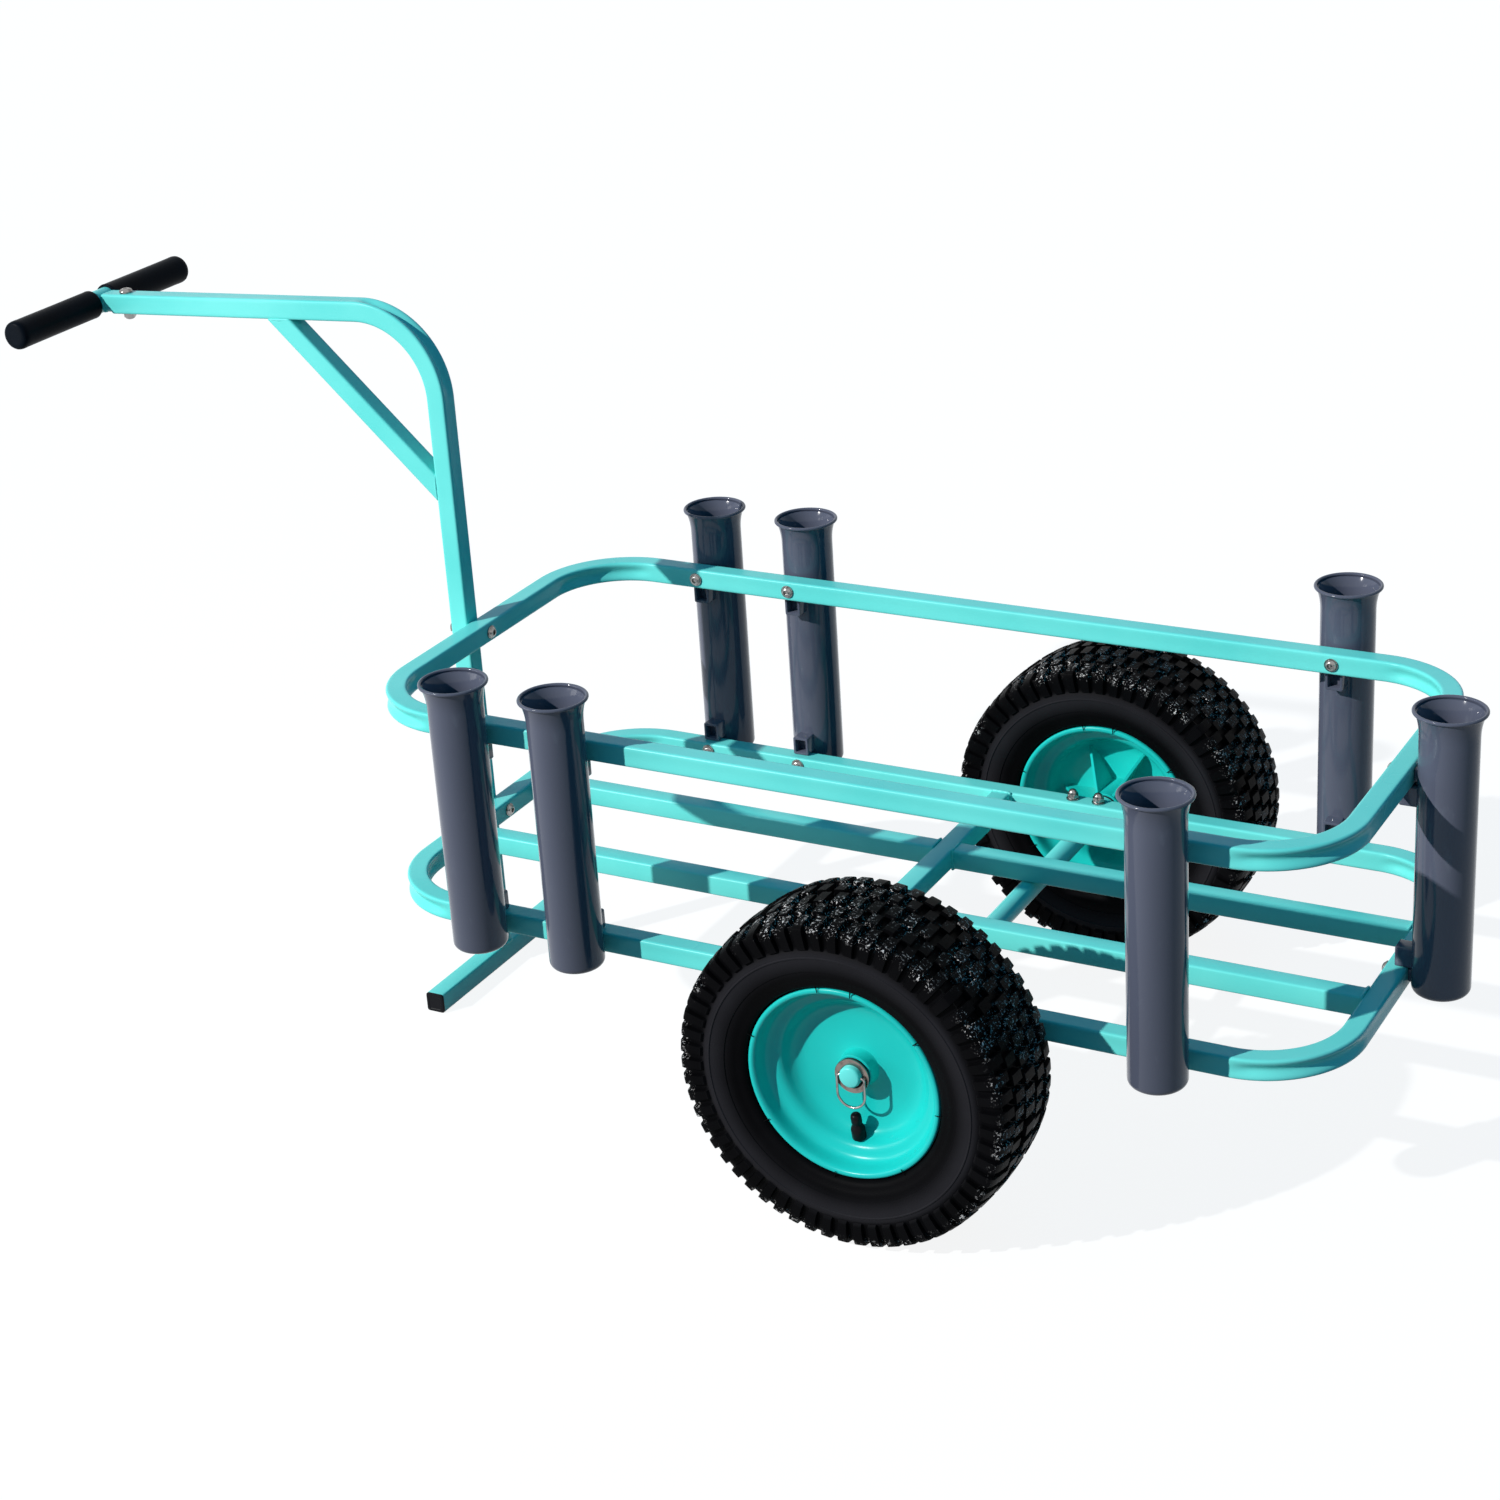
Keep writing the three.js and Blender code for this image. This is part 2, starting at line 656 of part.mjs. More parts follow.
// A rubber grip with a closed, domed outer end, its open end at Y = 0.
function gripGeometry() {
  const r = gripDiameter / 2;
  const bore = tBarDiameter / 2 + seatGap;
  return lathe([
    [bore, 0], [r - gripWall / 2, 0], [r, gripWall / 2], [r, gripLength - gripDome],
    [r * Math.SQRT1_2, gripLength - gripDome / 4], [0, gripLength], [0, gripLength - gripWall],
    [bore, gripLength - gripWall], [bore, 0],
  ], holderSides);
}

// A black end cap with its plug inside the foot's tube, facing -Y.
function footCapGeometry() {
  const plate = new THREE.BoxGeometry(tube, footCapThickness, tube)
    .translate(0, -footCapThickness / 2, 0);
  const plugSize = tube - 2 * (tubeWall + seatGap);
  const plug = new THREE.BoxGeometry(plugSize, footPlugLength + footCapThickness / 2, plugSize)
    .translate(0, footPlugLength / 2 - footCapThickness / 4, 0);
  return join(plate, [plug]);
}

// Materials, one maker for each finish
const tealPaint = () => new THREE.MeshStandardMaterial({ color: 0x4fd6cf, roughness: 0.35, metalness: 0.1 });
const rimPaint = () => new THREE.MeshStandardMaterial({ color: 0x10d2c8, roughness: 0.35, metalness: 0.1 });
const holderPlastic = () => new THREE.MeshStandardMaterial({ color: 0x3a3f4c, roughness: 0.35, metalness: 0 });
const tyreRubber = () => new THREE.MeshStandardMaterial({ color: 0x141416, roughness: 0.8, metalness: 0 });
const gripRubber = () => new THREE.MeshStandardMaterial({ color: 0x0e1116, roughness: 0.55, metalness: 0 });
const blackPlastic = () => new THREE.MeshStandardMaterial({ color: 0x0c0c0e, roughness: 0.45, metalness: 0 });
const brightSteel = () => new THREE.MeshStandardMaterial({ color: 0xb8b8b8, roughness: 0.25, metalness: 1 });
const washerSteel = () => new THREE.MeshStandardMaterial({ color: 0x8a7a72, roughness: 0.4, metalness: 1 });
const bushNylon = () => new THREE.MeshStandardMaterial({ color: 0x20201f, roughness: 0.5, metalness: 0 });

const trolley = new THREE.Group();

function add(name, geometry, material, x = 0, y = 0, z = 0, parent = trolley) {
  const mesh = new THREE.Mesh(geometry, material);
  mesh.name = name;
  mesh.position.set(x, y, z);
  parent.add(mesh);
  return mesh;
}

// Loops and deck. The slats stop at the cross member, which runs from one side of the loop to the other.
function addFrame() {
  add('upper_rail', railGeometry(false), tealPaint(), 0, 0, upperMiddle);
  add('lower_rail', railGeometry(true), tealPaint(), 0, 0, lowerMiddle);
  const memberTube = straightTube(loopWidth - 2 * tube);
  const member = add('deck_cross_member', memberTube, tealPaint(), 0, 0, lowerMiddle);
  member.rotation.z = Math.PI / 2;
  const slatLength = halfLength - 1.5 * tube;
  for (const side of [-1, 1]) {
    for (const end of [-1, 1]) {
      add(`deck_slat_${side < 0 ? 'near' : 'far'}_${end < 0 ? 'front' : 'rear'}`, straightTube(slatLength),
        tealPaint(), (end * (slatLength + tube)) / 2, (side * slatSpacing) / 2, lowerMiddle);
    }
  }
}

// Rod holders, each with a bolt through the upper loop and one through the lower loop.
function addHolders() {
  const body = holderGeometry();
  const boreFlat = (holderBore / 2) * Math.cos(Math.PI / holderSides);
  const nutSeat = Math.sqrt(boreFlat ** 2 - (nutDiameter / 2) ** 2);
  const bolt = boltGeometry(tube + holderSetback - nutSeat);
  for (const site of holderSites) {
    const group = new THREE.Group();
    group.position.set(site.x, site.y, 0);
    group.rotation.z = site.turn;
    trolley.add(group);
    add(`rod_holder_${site.name}`, body, holderPlastic(), 0, -holderSetback, holderBottom, group);
    add(`holder_bolt_upper_${site.name}`, bolt, brightSteel(), 0, tube, upperMiddle, group);
    add(`holder_bolt_lower_${site.name}`, bolt, brightSteel(), 0, tube, lowerMiddle + lowerBoltLift, group);
  }
}

// Axle with its clamps, washers and keeper rings, and a wheel at each end.
function addRunningGear() {
  add('axle', axleGeometry(), tealPaint(), axleOffset, 0, axleHeight);
  const rim = rimGeometry();
  const tyre = tyreGeometry();
  for (const side of [-1, 1]) {
    const label = side < 0 ? 'near' : 'far';
    const railMiddle = side * (halfWidth - tube / 2);
    add(`axle_u_bolt_${label}`, uBoltGeometry(), brightSteel(), axleOffset, railMiddle, axleHeight);
    const end = new THREE.Group();
    end.position.set(axleOffset, 0, axleHeight);
    if (side < 0) end.rotation.z = Math.PI;
    trolley.add(end);
    const wheel = new THREE.Group();
    wheel.position.set(0, trackWidth / 2, 0);
    end.add(wheel);
    add(`tyre_${label}`, tyre, tyreRubber(), 0, 0, 0, wheel);
    add(`rim_${label}`, rim, rimPaint(), 0, 0, 0, wheel);
    add(`hub_bush_outer_${label}`, bushGeometry(), bushNylon(), 0, hubOutboard, 0, wheel);
    const innerBush = add(`hub_bush_inner_${label}`, bushGeometry(), bushNylon(), 0, -hubInboard, 0, wheel);
    innerBush.rotation.x = Math.PI;
    const valve = add(`valve_${label}`, valveGeometry(), blackPlastic(), 0, valvePlace, -valveSeat, wheel);
    valve.rotation.x = -valveLean;
    add(`axle_washer_${label}`, washerGeometry(), washerSteel(),
      0, washerFace - washerThickness, seatGap - washerPlay, end);
    add(`keeper_ring_${label}`, keeperRingGeometry(), brightSteel(), 0, ringPlace, 0, end);
  }
}

// Tow bar: ground foot with its caps, bent tube, brace, and the T-bar with its grips.
function addTowBar() {
  const footTube = straightTube(footLength - 2 * footCapThickness);
  const foot = add('foot_bar', footTube, tealPaint(), postX, 0, tube / 2);
  foot.rotation.z = Math.PI / 2;
  for (const side of [-1, 1]) {
    const cap = add(`foot_cap_${side < 0 ? 'near' : 'far'}`, footCapGeometry(), blackPlastic(),
      postX, side * (footLength / 2 - footCapThickness), tube / 2);
    cap.rotation.z = side < 0 ? 0 : Math.PI;
  }
  add('handle_tube', handleTubeGeometry(), tealPaint());
  add('handle_brace', braceGeometry(), tealPaint());
  for (const [label, z] of [['upper', upperMiddle], ['lower', lowerMiddle]]) {
    const bolt = add(`post_bolt_${label}`, boltGeometry(2 * tube + seatGap), brightSteel(),
      tube - halfLength, 0, z);
    bolt.rotation.z = -Math.PI / 2;
  }
  const head = new THREE.Group();
  const start = bendCentreX - bendRadius * Math.sin(boomDroop);
  head.position.set(start - boomLength * Math.cos(boomDroop), 0,
    bendCentreZ + bendRadius * Math.cos(boomDroop) - boomLength * Math.sin(boomDroop));
  head.rotation.y = -boomDroop;
  trolley.add(head);
  add('t_bar', tBarGeometry(), tealPaint(), 0, 0, 0, head);
  for (const side of [-1, 1]) {
    const grip = add(`grip_${side < 0 ? 'near' : 'far'}`, gripGeometry(), gripRubber(),
      0, side * (tube / 2 + gripClearOfBoom), 0, head);
    grip.rotation.x = side < 0 ? Math.PI : 0;
  }
  const bolt = add('t_bar_bolt', boltGeometry(tube, stemBoltHeadDiameter, true), brightSteel(),
    stemBoltPlace, 0, tube / 2, head);
  bolt.rotation.x = Math.PI / 2;
}

addFrame();
addHolders();
addRunningGear();
addTowBar();

// Centre the whole trolley over the origin.
const boomReach = bendRadius * Math.sin(boomDroop) + boomLength * Math.cos(boomDroop);
const front = bendCentreX - boomReach - gripDiameter / 2;
const rear = halfLength + holderSetback + (holderRimDiameter / 2) * Math.cos(Math.PI / holderSides);
trolley.position.x = -(front + rear) / 2;

export default trolley;
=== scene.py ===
import math
import random

import bpy
from mathutils import Matrix, Vector


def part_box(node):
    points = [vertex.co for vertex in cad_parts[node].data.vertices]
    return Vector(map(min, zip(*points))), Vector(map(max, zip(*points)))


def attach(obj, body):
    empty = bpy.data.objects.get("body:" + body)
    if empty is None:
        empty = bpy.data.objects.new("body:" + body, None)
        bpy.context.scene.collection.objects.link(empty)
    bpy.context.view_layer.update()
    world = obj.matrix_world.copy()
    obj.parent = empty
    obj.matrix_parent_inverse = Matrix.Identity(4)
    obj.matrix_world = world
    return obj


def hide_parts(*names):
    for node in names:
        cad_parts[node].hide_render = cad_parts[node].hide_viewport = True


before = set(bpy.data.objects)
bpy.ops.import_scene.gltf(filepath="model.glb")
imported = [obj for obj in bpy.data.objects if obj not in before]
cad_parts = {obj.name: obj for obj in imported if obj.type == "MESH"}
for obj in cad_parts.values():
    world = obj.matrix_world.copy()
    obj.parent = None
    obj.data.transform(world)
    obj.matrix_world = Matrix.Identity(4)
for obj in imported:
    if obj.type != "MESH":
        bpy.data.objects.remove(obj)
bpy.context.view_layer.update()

mm = 0.001

# The studio. A white sweep under a hard sun from the near front, as in the photograph, and the
# photograph's own camera: above the near side, round towards the rear, and slightly rolled.
rail_low, rail_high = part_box("upper_rail")
trolley_middle = (rail_low.x + rail_high.x) / 2
rail_top = rail_high.z
camera_behind, camera_aside, camera_above = 1087.1 * mm, -2179.1 * mm, 1026.1 * mm
camera_yaw, camera_pitch, camera_roll = 0.5211, -0.4176, -0.0672
camera_data = bpy.data.cameras.new("camera")
camera_data.lens = 72.39
camera_data.sensor_width = 36
camera_data.clip_end = 50
camera = bpy.data.objects.new("camera", camera_data)
camera.matrix_world = (
    Matrix.Translation((trolley_middle + camera_behind, camera_aside, rail_top + camera_above))
    @ Matrix.Rotation(camera_yaw, 4, "Z")
    @ Matrix.Rotation(math.pi / 2 + camera_pitch, 4, "X")
    @ Matrix.Rotation(camera_roll, 4, "Z")
)
bpy.context.collection.objects.link(camera)
bpy.context.scene.camera = camera
bpy.context.scene.view_settings.view_transform = "Standard"


def hang_lamp(name, kind, energy, colour, place, direction, **settings):
    lamp = bpy.data.lights.new(name, kind)
    lamp.energy = energy
    lamp.color = colour
    for words, value in settings.items():
        setattr(lamp, words, value)
    holder = bpy.data.objects.new(name, lamp)
    holder.location = place
    holder.rotation_euler = Vector(direction).to_track_quat("-Z", "Y").to_euler()
    bpy.context.collection.objects.link(holder)


hang_lamp("key_sun", "SUN", 3.7, (1, 0.985, 0.96), (0, 0, 3), (0.72, 1, -0.76), angle=math.radians(0.9))
hang_lamp("handle_softbox", "AREA", 6, (1, 1, 1), (-1.25, -1.0, 0.62), (0.68, 0.95, -0.1), size=0.7)


class Shade:
    """A socket of a shader node. Sums with it add Math nodes, and node() adds any other node."""

    def __init__(self, tree, socket=None):
        self.tree = tree
        self.socket = socket

    def node(self, kind, settings=None, sockets=None, output=0):
        made = self.tree.nodes.new(kind)
        for name, value in (settings or {}).items():
            setattr(made, name, value)
        for name, value in (sockets or {}).items():
            if isinstance(value, Shade):
                self.tree.links.new(value.socket, made.inputs[name])
            elif isinstance(value, tuple) and made.inputs[name].type == "RGBA":
                made.inputs[name].default_value = (*value, 1)
            else:
                made.inputs[name].default_value = value
        return Shade(self.tree, made.outputs[output] if made.outputs else None)

    def math(self, operation, first, second=0.0):
        return self.node("ShaderNodeMath", {"operation": operation}, {0: first, 1: second})

    def __add__(self, other):
        return self.math("ADD", self, other)

    def __sub__(self, other):
        return self.math("SUBTRACT", self, other)

    def __mul__(self, other):
        return self.math("MULTIPLY", self, other)

    def __rsub__(self, other):
        return self.math("SUBTRACT", other, self)

    __radd__ = __add__
    __rmul__ = __mul__

    def blend(self, one, two):
        """Mixes two colours by this value."""
        return self.node("ShaderNodeMix", {"data_type": "RGBA"}, {0: self, 6: one, 7: two}, 2)

    def between(self, low, high):
        """This value stretched so that low gives 0 and high gives 1, with soft ends."""
        return self.node("ShaderNodeMapRange", {"interpolation_type": "SMOOTHSTEP"},
                         {0: self, 1: low, 2: high})

    def noise(self, scale, detail=3.0, stretch=(1, 1, 1), roughness=0.5):
        """Noise of so many lumps to the metre, stretched along the axes of the piece."""
        place = self.node("ShaderNodeTexCoord", output="Object")
        placed = self.node("ShaderNodeVectorMath", {"operation": "MULTIPLY"}, {0: place, 1: stretch})
        return self.node("ShaderNodeTexNoise", None,
                         {"Vector": placed, "Scale": scale, "Detail": detail, "Roughness": roughness})

    def bump(self, height, distance, strength=1.0):
        return self.node("ShaderNodeBump", None,
                         {"Height": height, "Distance": distance, "Strength": strength})


def finish_material(name, changing, **steady):
    """A material whose steady values sit on the shader and whose changing ones come from nodes."""
    material = bpy.data.materials.new(name)
    material.use_nodes = True
    tree = material.node_tree
    shader = tree.nodes["Principled BSDF"]
    for words, value in steady.items():
        shader.inputs[words.replace("_", " ").title().replace("Ior", "IOR")].default_value = value
    for words, shade in changing(Shade(tree)).items():
        tree.links.new(shade.socket, shader.inputs[words])
    return material


def seen_ray(shade):
    """1 on the rays that show the background, straight on or in metal and glass, and 0 on the rest."""
    straight, mirrored, clear = (
        shade.node("ShaderNodeLightPath", output=f"Is {kind} Ray")
        for kind in ("Camera", "Glossy", "Transmission"))
    return shade.math("MAXIMUM", shade.math("MAXIMUM", straight, mirrored), clear)


# The sweep is pale where it is seen, and dull to the light that falls on it, so shadows stay soft.
sweep = bpy.data.materials.new("white_sweep")
sweep.use_nodes = True
sweep.node_tree.nodes.clear()
sweep_shade = Shade(sweep.node_tree)
sweep_matt = sweep_shade.node("ShaderNodeBsdfDiffuse", None, {"Color": (0.16, 0.16, 0.16)})
sweep_glow = sweep_shade.node("ShaderNodeEmission", None, {"Color": (0.89, 0.89, 0.89), "Strength": 1.0})
sweep_pale = sweep_shade.node("ShaderNodeAddShader", None, {0: sweep_matt, 1: sweep_glow})
sweep_mixed = sweep_shade.node("ShaderNodeMixShader", None,
                               {0: seen_ray(sweep_shade), 1: sweep_matt, 2: sweep_pale})
sweep_shade.node("ShaderNodeOutputMaterial", None, {0: sweep_mixed})

sweep_reach = 12
sweep_level = -0.2 * mm
floor_mesh = bpy.data.meshes.new("floor")
floor_mesh.from_pydata(
    [(x * sweep_reach, y * sweep_reach, sweep_level) for x, y in ((-1, -1), (1, -1), (1, 1), (-1, 1))],
    [], [(0, 1, 2, 3)])
floor_mesh.materials.append(sweep)
floor = bpy.data.objects.new("floor", floor_mesh)
bpy.context.collection.objects.link(floor)

world = bpy.data.worlds.new("studio")
bpy.context.scene.world = world
world.use_nodes = True
world.node_tree.nodes.clear()
sky = Shade(world.node_tree)
surround = sky.node("ShaderNodeBackground", None, {"Color": (0.03, 0.48, 0.86), "Strength": 0.34})
backdrop = sky.node("ShaderNodeBackground", None, {"Color": (1, 1, 1), "Strength": 1.0})
sky_mixed = sky.node("ShaderNodeMixShader", None, {0: seen_ray(sky), 1: surround, 2: backdrop})
sky.node("ShaderNodeOutputWorld", None, {0: sky_mixed})

# The two loops. Each is one length of 19 mm square steel tube, bent at four corners and powder
# coated. The bender has drawn in the upright walls at the corners, so they are hollowed there.
tube = rail_high.z - rail_low.z
tube_corner = 2.2 * mm
bend_radius = 78 * mm
crimp_outside = 3.6 * mm
crimp_inside = 2.6 * mm
crimp_run = 24 * mm


def paint_changes(base, cloudy, dusty):
    """Powder coat: an orange-peel skin, cloudy tone, and a little dust."""
    def changes(shade):
        cloud = shade.noise(9, 4)
        peel = shade.noise(900, 2)
        speck = shade.noise(2600, 1)
        dust = speck.between(0.72, 0.80) * 0.35
        return {
            "Base Color": dust.blend(cloud.between(0.3, 0.75).blend(base, cloudy), dusty),
            "Roughness": 0.20 + cloud * 0.12 + dust * 0.4,
            "Normal": shade.bump(peel * 0.7 + speck * 0.3, 0.12 * mm, 0.35),
        }
    return changes


tube_paint = finish_material(
    "teal_powder_coat", paint_changes((0.165, 0.76, 0.70), (0.12, 0.69, 0.64), (0.50, 0.90, 0.86)),
    specular_ior_level=0.12)


def make_mesh(name, shells, material, sharp=35):
    """One mesh from a list of points and one of faces, with edges sharper than that angle kept."""
    points, faces = shells
    mesh = bpy.data.meshes.new(name)
    mesh.from_pydata([tuple(p) for p in points], [], faces)
    mesh.validate()
    mesh.materials.append(material)
    mesh.shade_smooth()
    mesh.set_sharp_from_angle(angle=math.radians(sharp))
    return mesh


def place_piece(name, mesh, body, replaced, place=None):
    """Sets a mesh in the scene as a piece that rides on a body and stands for some nodes."""
    piece = bpy.data.objects.new(name, mesh)
    if place is not None:
        piece.matrix_world = place
    bpy.context.collection.objects.link(piece)
    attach(piece, body)
    if replaced:
        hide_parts(*replaced)


def add_piece(name, shells, material, body, replaced, sharp=35):
    place_piece(name, make_mesh(name, shells, material, sharp), body, replaced)


def skin(rings, along=False):
    """A closed skin over rings of points. It closes along itself too, or else gets a cap at each end."""
    count = len(rings[0])
    points = [p for ring in rings for p in ring]
    faces = []
    for i in range(len(rings) if along else len(rings) - 1):
        a, b = i * count, (i + 1) % len(rings) * count
        for j in range(count):
            k = (j + 1) % count
            faces.append((a + j, a + k, b + k, b + j))
    if not along:
        faces.append(tuple(reversed(range(count))))
        faces.append(tuple(range(len(points) - count, len(points))))
    return points, faces


def join_shells(*shells):
    """Several closed shells as one list of points and one of faces."""
    points, faces = [], []
    for more, sides in shells:
        start = len(points)
        points.extend(more)
        faces.extend(tuple(start + i for i in side) for side in sides)
    return points, faces


def square_section(size, corner, corner_steps=4, face_steps=1):
    """Points round a square with round corners, as pairs from its centre, counter-clockwise."""
    half = size / 2
    points = []
    for turn in range(4):
        face = [(half, (half - corner) * (2 * i / face_steps - 1)) for i in range(face_steps)]
        bend = [
            (half - corner + corner * math.cos(a), half - corner + corner * math.sin(a))
            for a in (math.pi / 2 * i / corner_steps for i in range(corner_steps))
        ]
        for x, y in face + bend:
            for _ in range(turn):
                x, y = -y, x
            points.append((x, y))
    return points


loop_section = square_section(tube, tube_corner, 4, 10)


def drawn_in(a, b, share):
    """Where a point of the section goes when the walls at +a and -a are drawn in."""
    flat = tube / 2 - tube_corner
    hollow = share * (0.5 + 0.5 * math.cos(math.pi * min(abs(b) / flat, 1)))
    if a > flat:
        return a - crimp_outside * hollow, b
    if a < -flat:
        return a + crimp_inside * hollow, b
    return a, b


def soft_step(x):
    x = min(max(x, 0), 1)
    return x * x * (3 - 2 * x)


def bend_stations(centre, start, turn, radius, steps=30):
    """Places along a bend: centre of the tube, outward direction and how far it is drawn in."""
    stations = []
    for i in range(steps + 1):
        angle = start + turn * i / steps
        out = Vector((math.cos(angle), math.sin(angle)))
        from_end = min(i, steps - i) / steps * abs(turn) * radius
        stations.append((centre + radius * out, out, soft_step(from_end / crimp_run + 0.1)))
    return stations


def add_loop(name, node):
    low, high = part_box(node)
    middle = (low + high) / 2
    reach = Vector((high.x - low.x, high.y - low.y)) / 2
    corner = bend_radius + tube / 2
    rings = []
    for quarter, (sx, sy) in enumerate(((1, 1), (-1, 1), (-1, -1), (1, -1))):
        centre = Vector((sx * (reach.x - corner), sy * (reach.y - corner)))
        for at, out, crimp in bend_stations(centre, quarter * math.pi / 2, math.pi / 2, bend_radius):
            ring = []
            for point in loop_section:
                a, b = drawn_in(*point, crimp)
                ring.append((middle.x + at.x + out.x * a, middle.y + at.y + out.y * a, middle.z + b))
            rings.append(ring)
    add_piece(name, skin(rings, along=True), tube_paint, "frame", [node])


add_loop("upper_loop", "upper_rail")
add_loop("lower_loop", "lower_rail")

# The deck. A cross member and four slats of the same tube, sawn square, set between the sides of
# the lower loop and welded all round.
straight_section = square_section(tube, tube_corner)
bead_radius = 1.5 * mm


def axes_round(direction):
    """Two directions square to a third, the first as level as it can be."""
    direction = direction.normalized()
    across = direction.cross(Vector((0, 0, 1)))
    if across.length < 0.01:
        across = Vector((0, 1, 0))
    across.normalize()
    return across, across.cross(direction)


def straight_tube(start, end, section=straight_section):
    across, up = axes_round(end - start)
    return skin([[at + across * a + up * b for a, b in section] for at in (start, end)])


def bead_along(spots, centre, direction, radius, seed, rough=1.0):
    """A rippled weld bead that follows a closed line of spots round a centre."""
    ripple = random.Random(seed)
    rings = []
    for i, spot in enumerate(spots):
        out = (spot - centre).normalized()
        r = radius * (1 - 0.2 * rough + 0.22 * rough * math.sin(i * 2.1) + 0.12 * rough * ripple.random())
        rings.append([
            spot + out * r * math.cos(t) + direction * r * math.sin(t)
            for t in (2 * math.pi * k / 7 for k in range(7))
        ])
    return skin(rings, along=True)


def weld_bead(centre, direction, seed, size=tube):
    """A weld bead round the end of a square tube."""
    across, up = axes_round(direction)
    outline = square_section(size + bead_radius / 2, tube_corner, 4, 8)
    return bead_along([centre + across * a + up * b for a, b in outline], centre,
                      direction.normalized(), bead_radius, seed)


beads = []
for node in ("deck_cross_member", "deck_slat_near_front", "deck_slat_near_rear",
             "deck_slat_far_front", "deck_slat_far_rear"):
    low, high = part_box(node)
    middle = (low + high) / 2
    along = Vector((0, 1, 0)) if high.y - low.y > high.x - low.x else Vector((1, 0, 0))
    half = (high - low).dot(along) / 2
    add_piece(node + "_tube", straight_tube(middle - along * half, middle + along * half),
              tube_paint, "frame", [node])
    for side in (-1, 1):
        beads.append(weld_bead(middle + side * along * (half - bead_radius * 0.3), along, len(beads)))

# The tow bar. Foot bar on the ground, one bent tube for post and boom, and a brace mitred to lie
# against both. The bend's walls are drawn in like the loops' corners. Black caps plug the foot bar.
foot_low, foot_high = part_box("foot_bar")
post_x = (foot_low.x + foot_high.x) / 2
boom_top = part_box("handle_tube")[1].z
boom_droop = math.radians(3)
bend_centre = Vector((post_x - bend_radius, boom_top - bend_radius - tube / 2))
boom_length = 306.8 * mm
boom_end_gap = 11.7 * mm
boom_cut_lean = math.radians(31)
tube_wall = 1.65 * mm
brace_drop = 156 * mm
brace_reach = 158 * mm
brace_bead_inset = 0.9
boom_direction = Vector((-math.cos(boom_droop), -math.sin(boom_droop)))
boom_start = bend_centre + bend_radius * Vector((-math.sin(boom_droop), math.cos(boom_droop)))
t_bar_axis = boom_start + boom_direction * boom_length


def add_tow_tube():
    stations = [(Vector((post_x, foot_high.z)), Vector((1, 0)), 0)]
    stations += bend_stations(bend_centre, 0, math.pi / 2 + boom_droop, bend_radius, 36)
    stations.append((t_bar_axis - boom_direction * boom_end_gap, stations[-1][1], 0))
    rings = []
    for i, (at, out, crimp) in enumerate(stations):
        ring = []
        for point in loop_section:
            a, b = drawn_in(*point, crimp)
            slant = (tube / 2 - a) * math.tan(boom_cut_lean) if i == len(stations) - 1 else 0
            spot = at + out * a - boom_direction * slant
            ring.append(Vector((spot.x, b, spot.y)))
        rings.append(ring)
    centre = sum(rings[-1], Vector()) / len(rings[-1])
    inner = [centre + (p - centre) * (1 - 2 * tube_wall / tube) for p in rings[-1]]
    back = Vector((-boom_direction.x, 0, -boom_direction.y)) * tube
    rings += [inner, [p + back for p in inner]]
    add_piece("tow_bar_tube", skin(rings), tube_paint, "frame", ["handle_tube"])


def add_brace():
    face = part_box("handle_brace")[1].x
    corner = boom_start.y + (face - boom_start.x) * math.tan(boom_droop) - tube / 2 / math.cos(boom_droop)
    run = Vector((-brace_reach, 0, brace_drop - brace_reach * math.tan(boom_droop)))
    middle = Vector((face, 0, corner - brace_drop)) + run / 2
    across, up = axes_round(run)
    down_normal = Vector((math.sin(boom_droop), 0, -math.cos(boom_droop)))
    under_boom = Vector((face, 0, corner - 0.3 * mm))
    low_end, high_end = [], []
    for a, b in square_section(tube, tube_corner, 4, 8):
        line = middle + across * a + up * b
        low_end.append(line + run * ((face - line.x) / run.x))
        high_end.append(line + run * ((under_boom - line).dot(down_normal) / run.dot(down_normal)))
    add_piece("tow_bar_brace", skin([low_end, high_end]), tube_paint, "frame", ["handle_brace"])
    for ring, normal in ((low_end, Vector((1, 0, 0))), (high_end, down_normal)):
        centre = sum(ring, Vector()) / len(ring)
        line = [centre + (spot - centre) * brace_bead_inset for spot in ring]
        beads.append(bead_along(line, centre, normal, bead_radius, 60, 0.3))


add_tow_tube()
add_brace()
beads.append(weld_bead(Vector((post_x, 0, foot_high.z + bead_radius * 0.4)), Vector((0, 0, 1)), 40))
add_piece("foot_bar_tube",
          straight_tube(Vector((post_x, foot_low.y, tube / 2)), Vector((post_x, foot_high.y, tube / 2))),
          tube_paint, "frame", ["foot_bar"])


def plastic_changes(base, grain):
    """Moulded plastic: fine grain, faint flow marks and finger-worn gloss."""
    def changes(shade):
        flow = shade.noise(26, 5, (1, 1, 0.25))
        fine = shade.noise(grain, 3)
        return {
            "Base Color": flow.between(0.3, 0.7).blend(base, tuple(c * 1.25 for c in base)),
            "Roughness": 0.26 + flow * 0.16,
            "Normal": shade.bump(fine, 0.05 * mm, 0.4),
        }
    return changes


black_plastic = finish_material("black_plastic", plastic_changes((0.006, 0.006, 0.008), 1500),
                                specular_ior_level=0.08)

cap_section = square_section(tube, 2.4 * mm, 5)
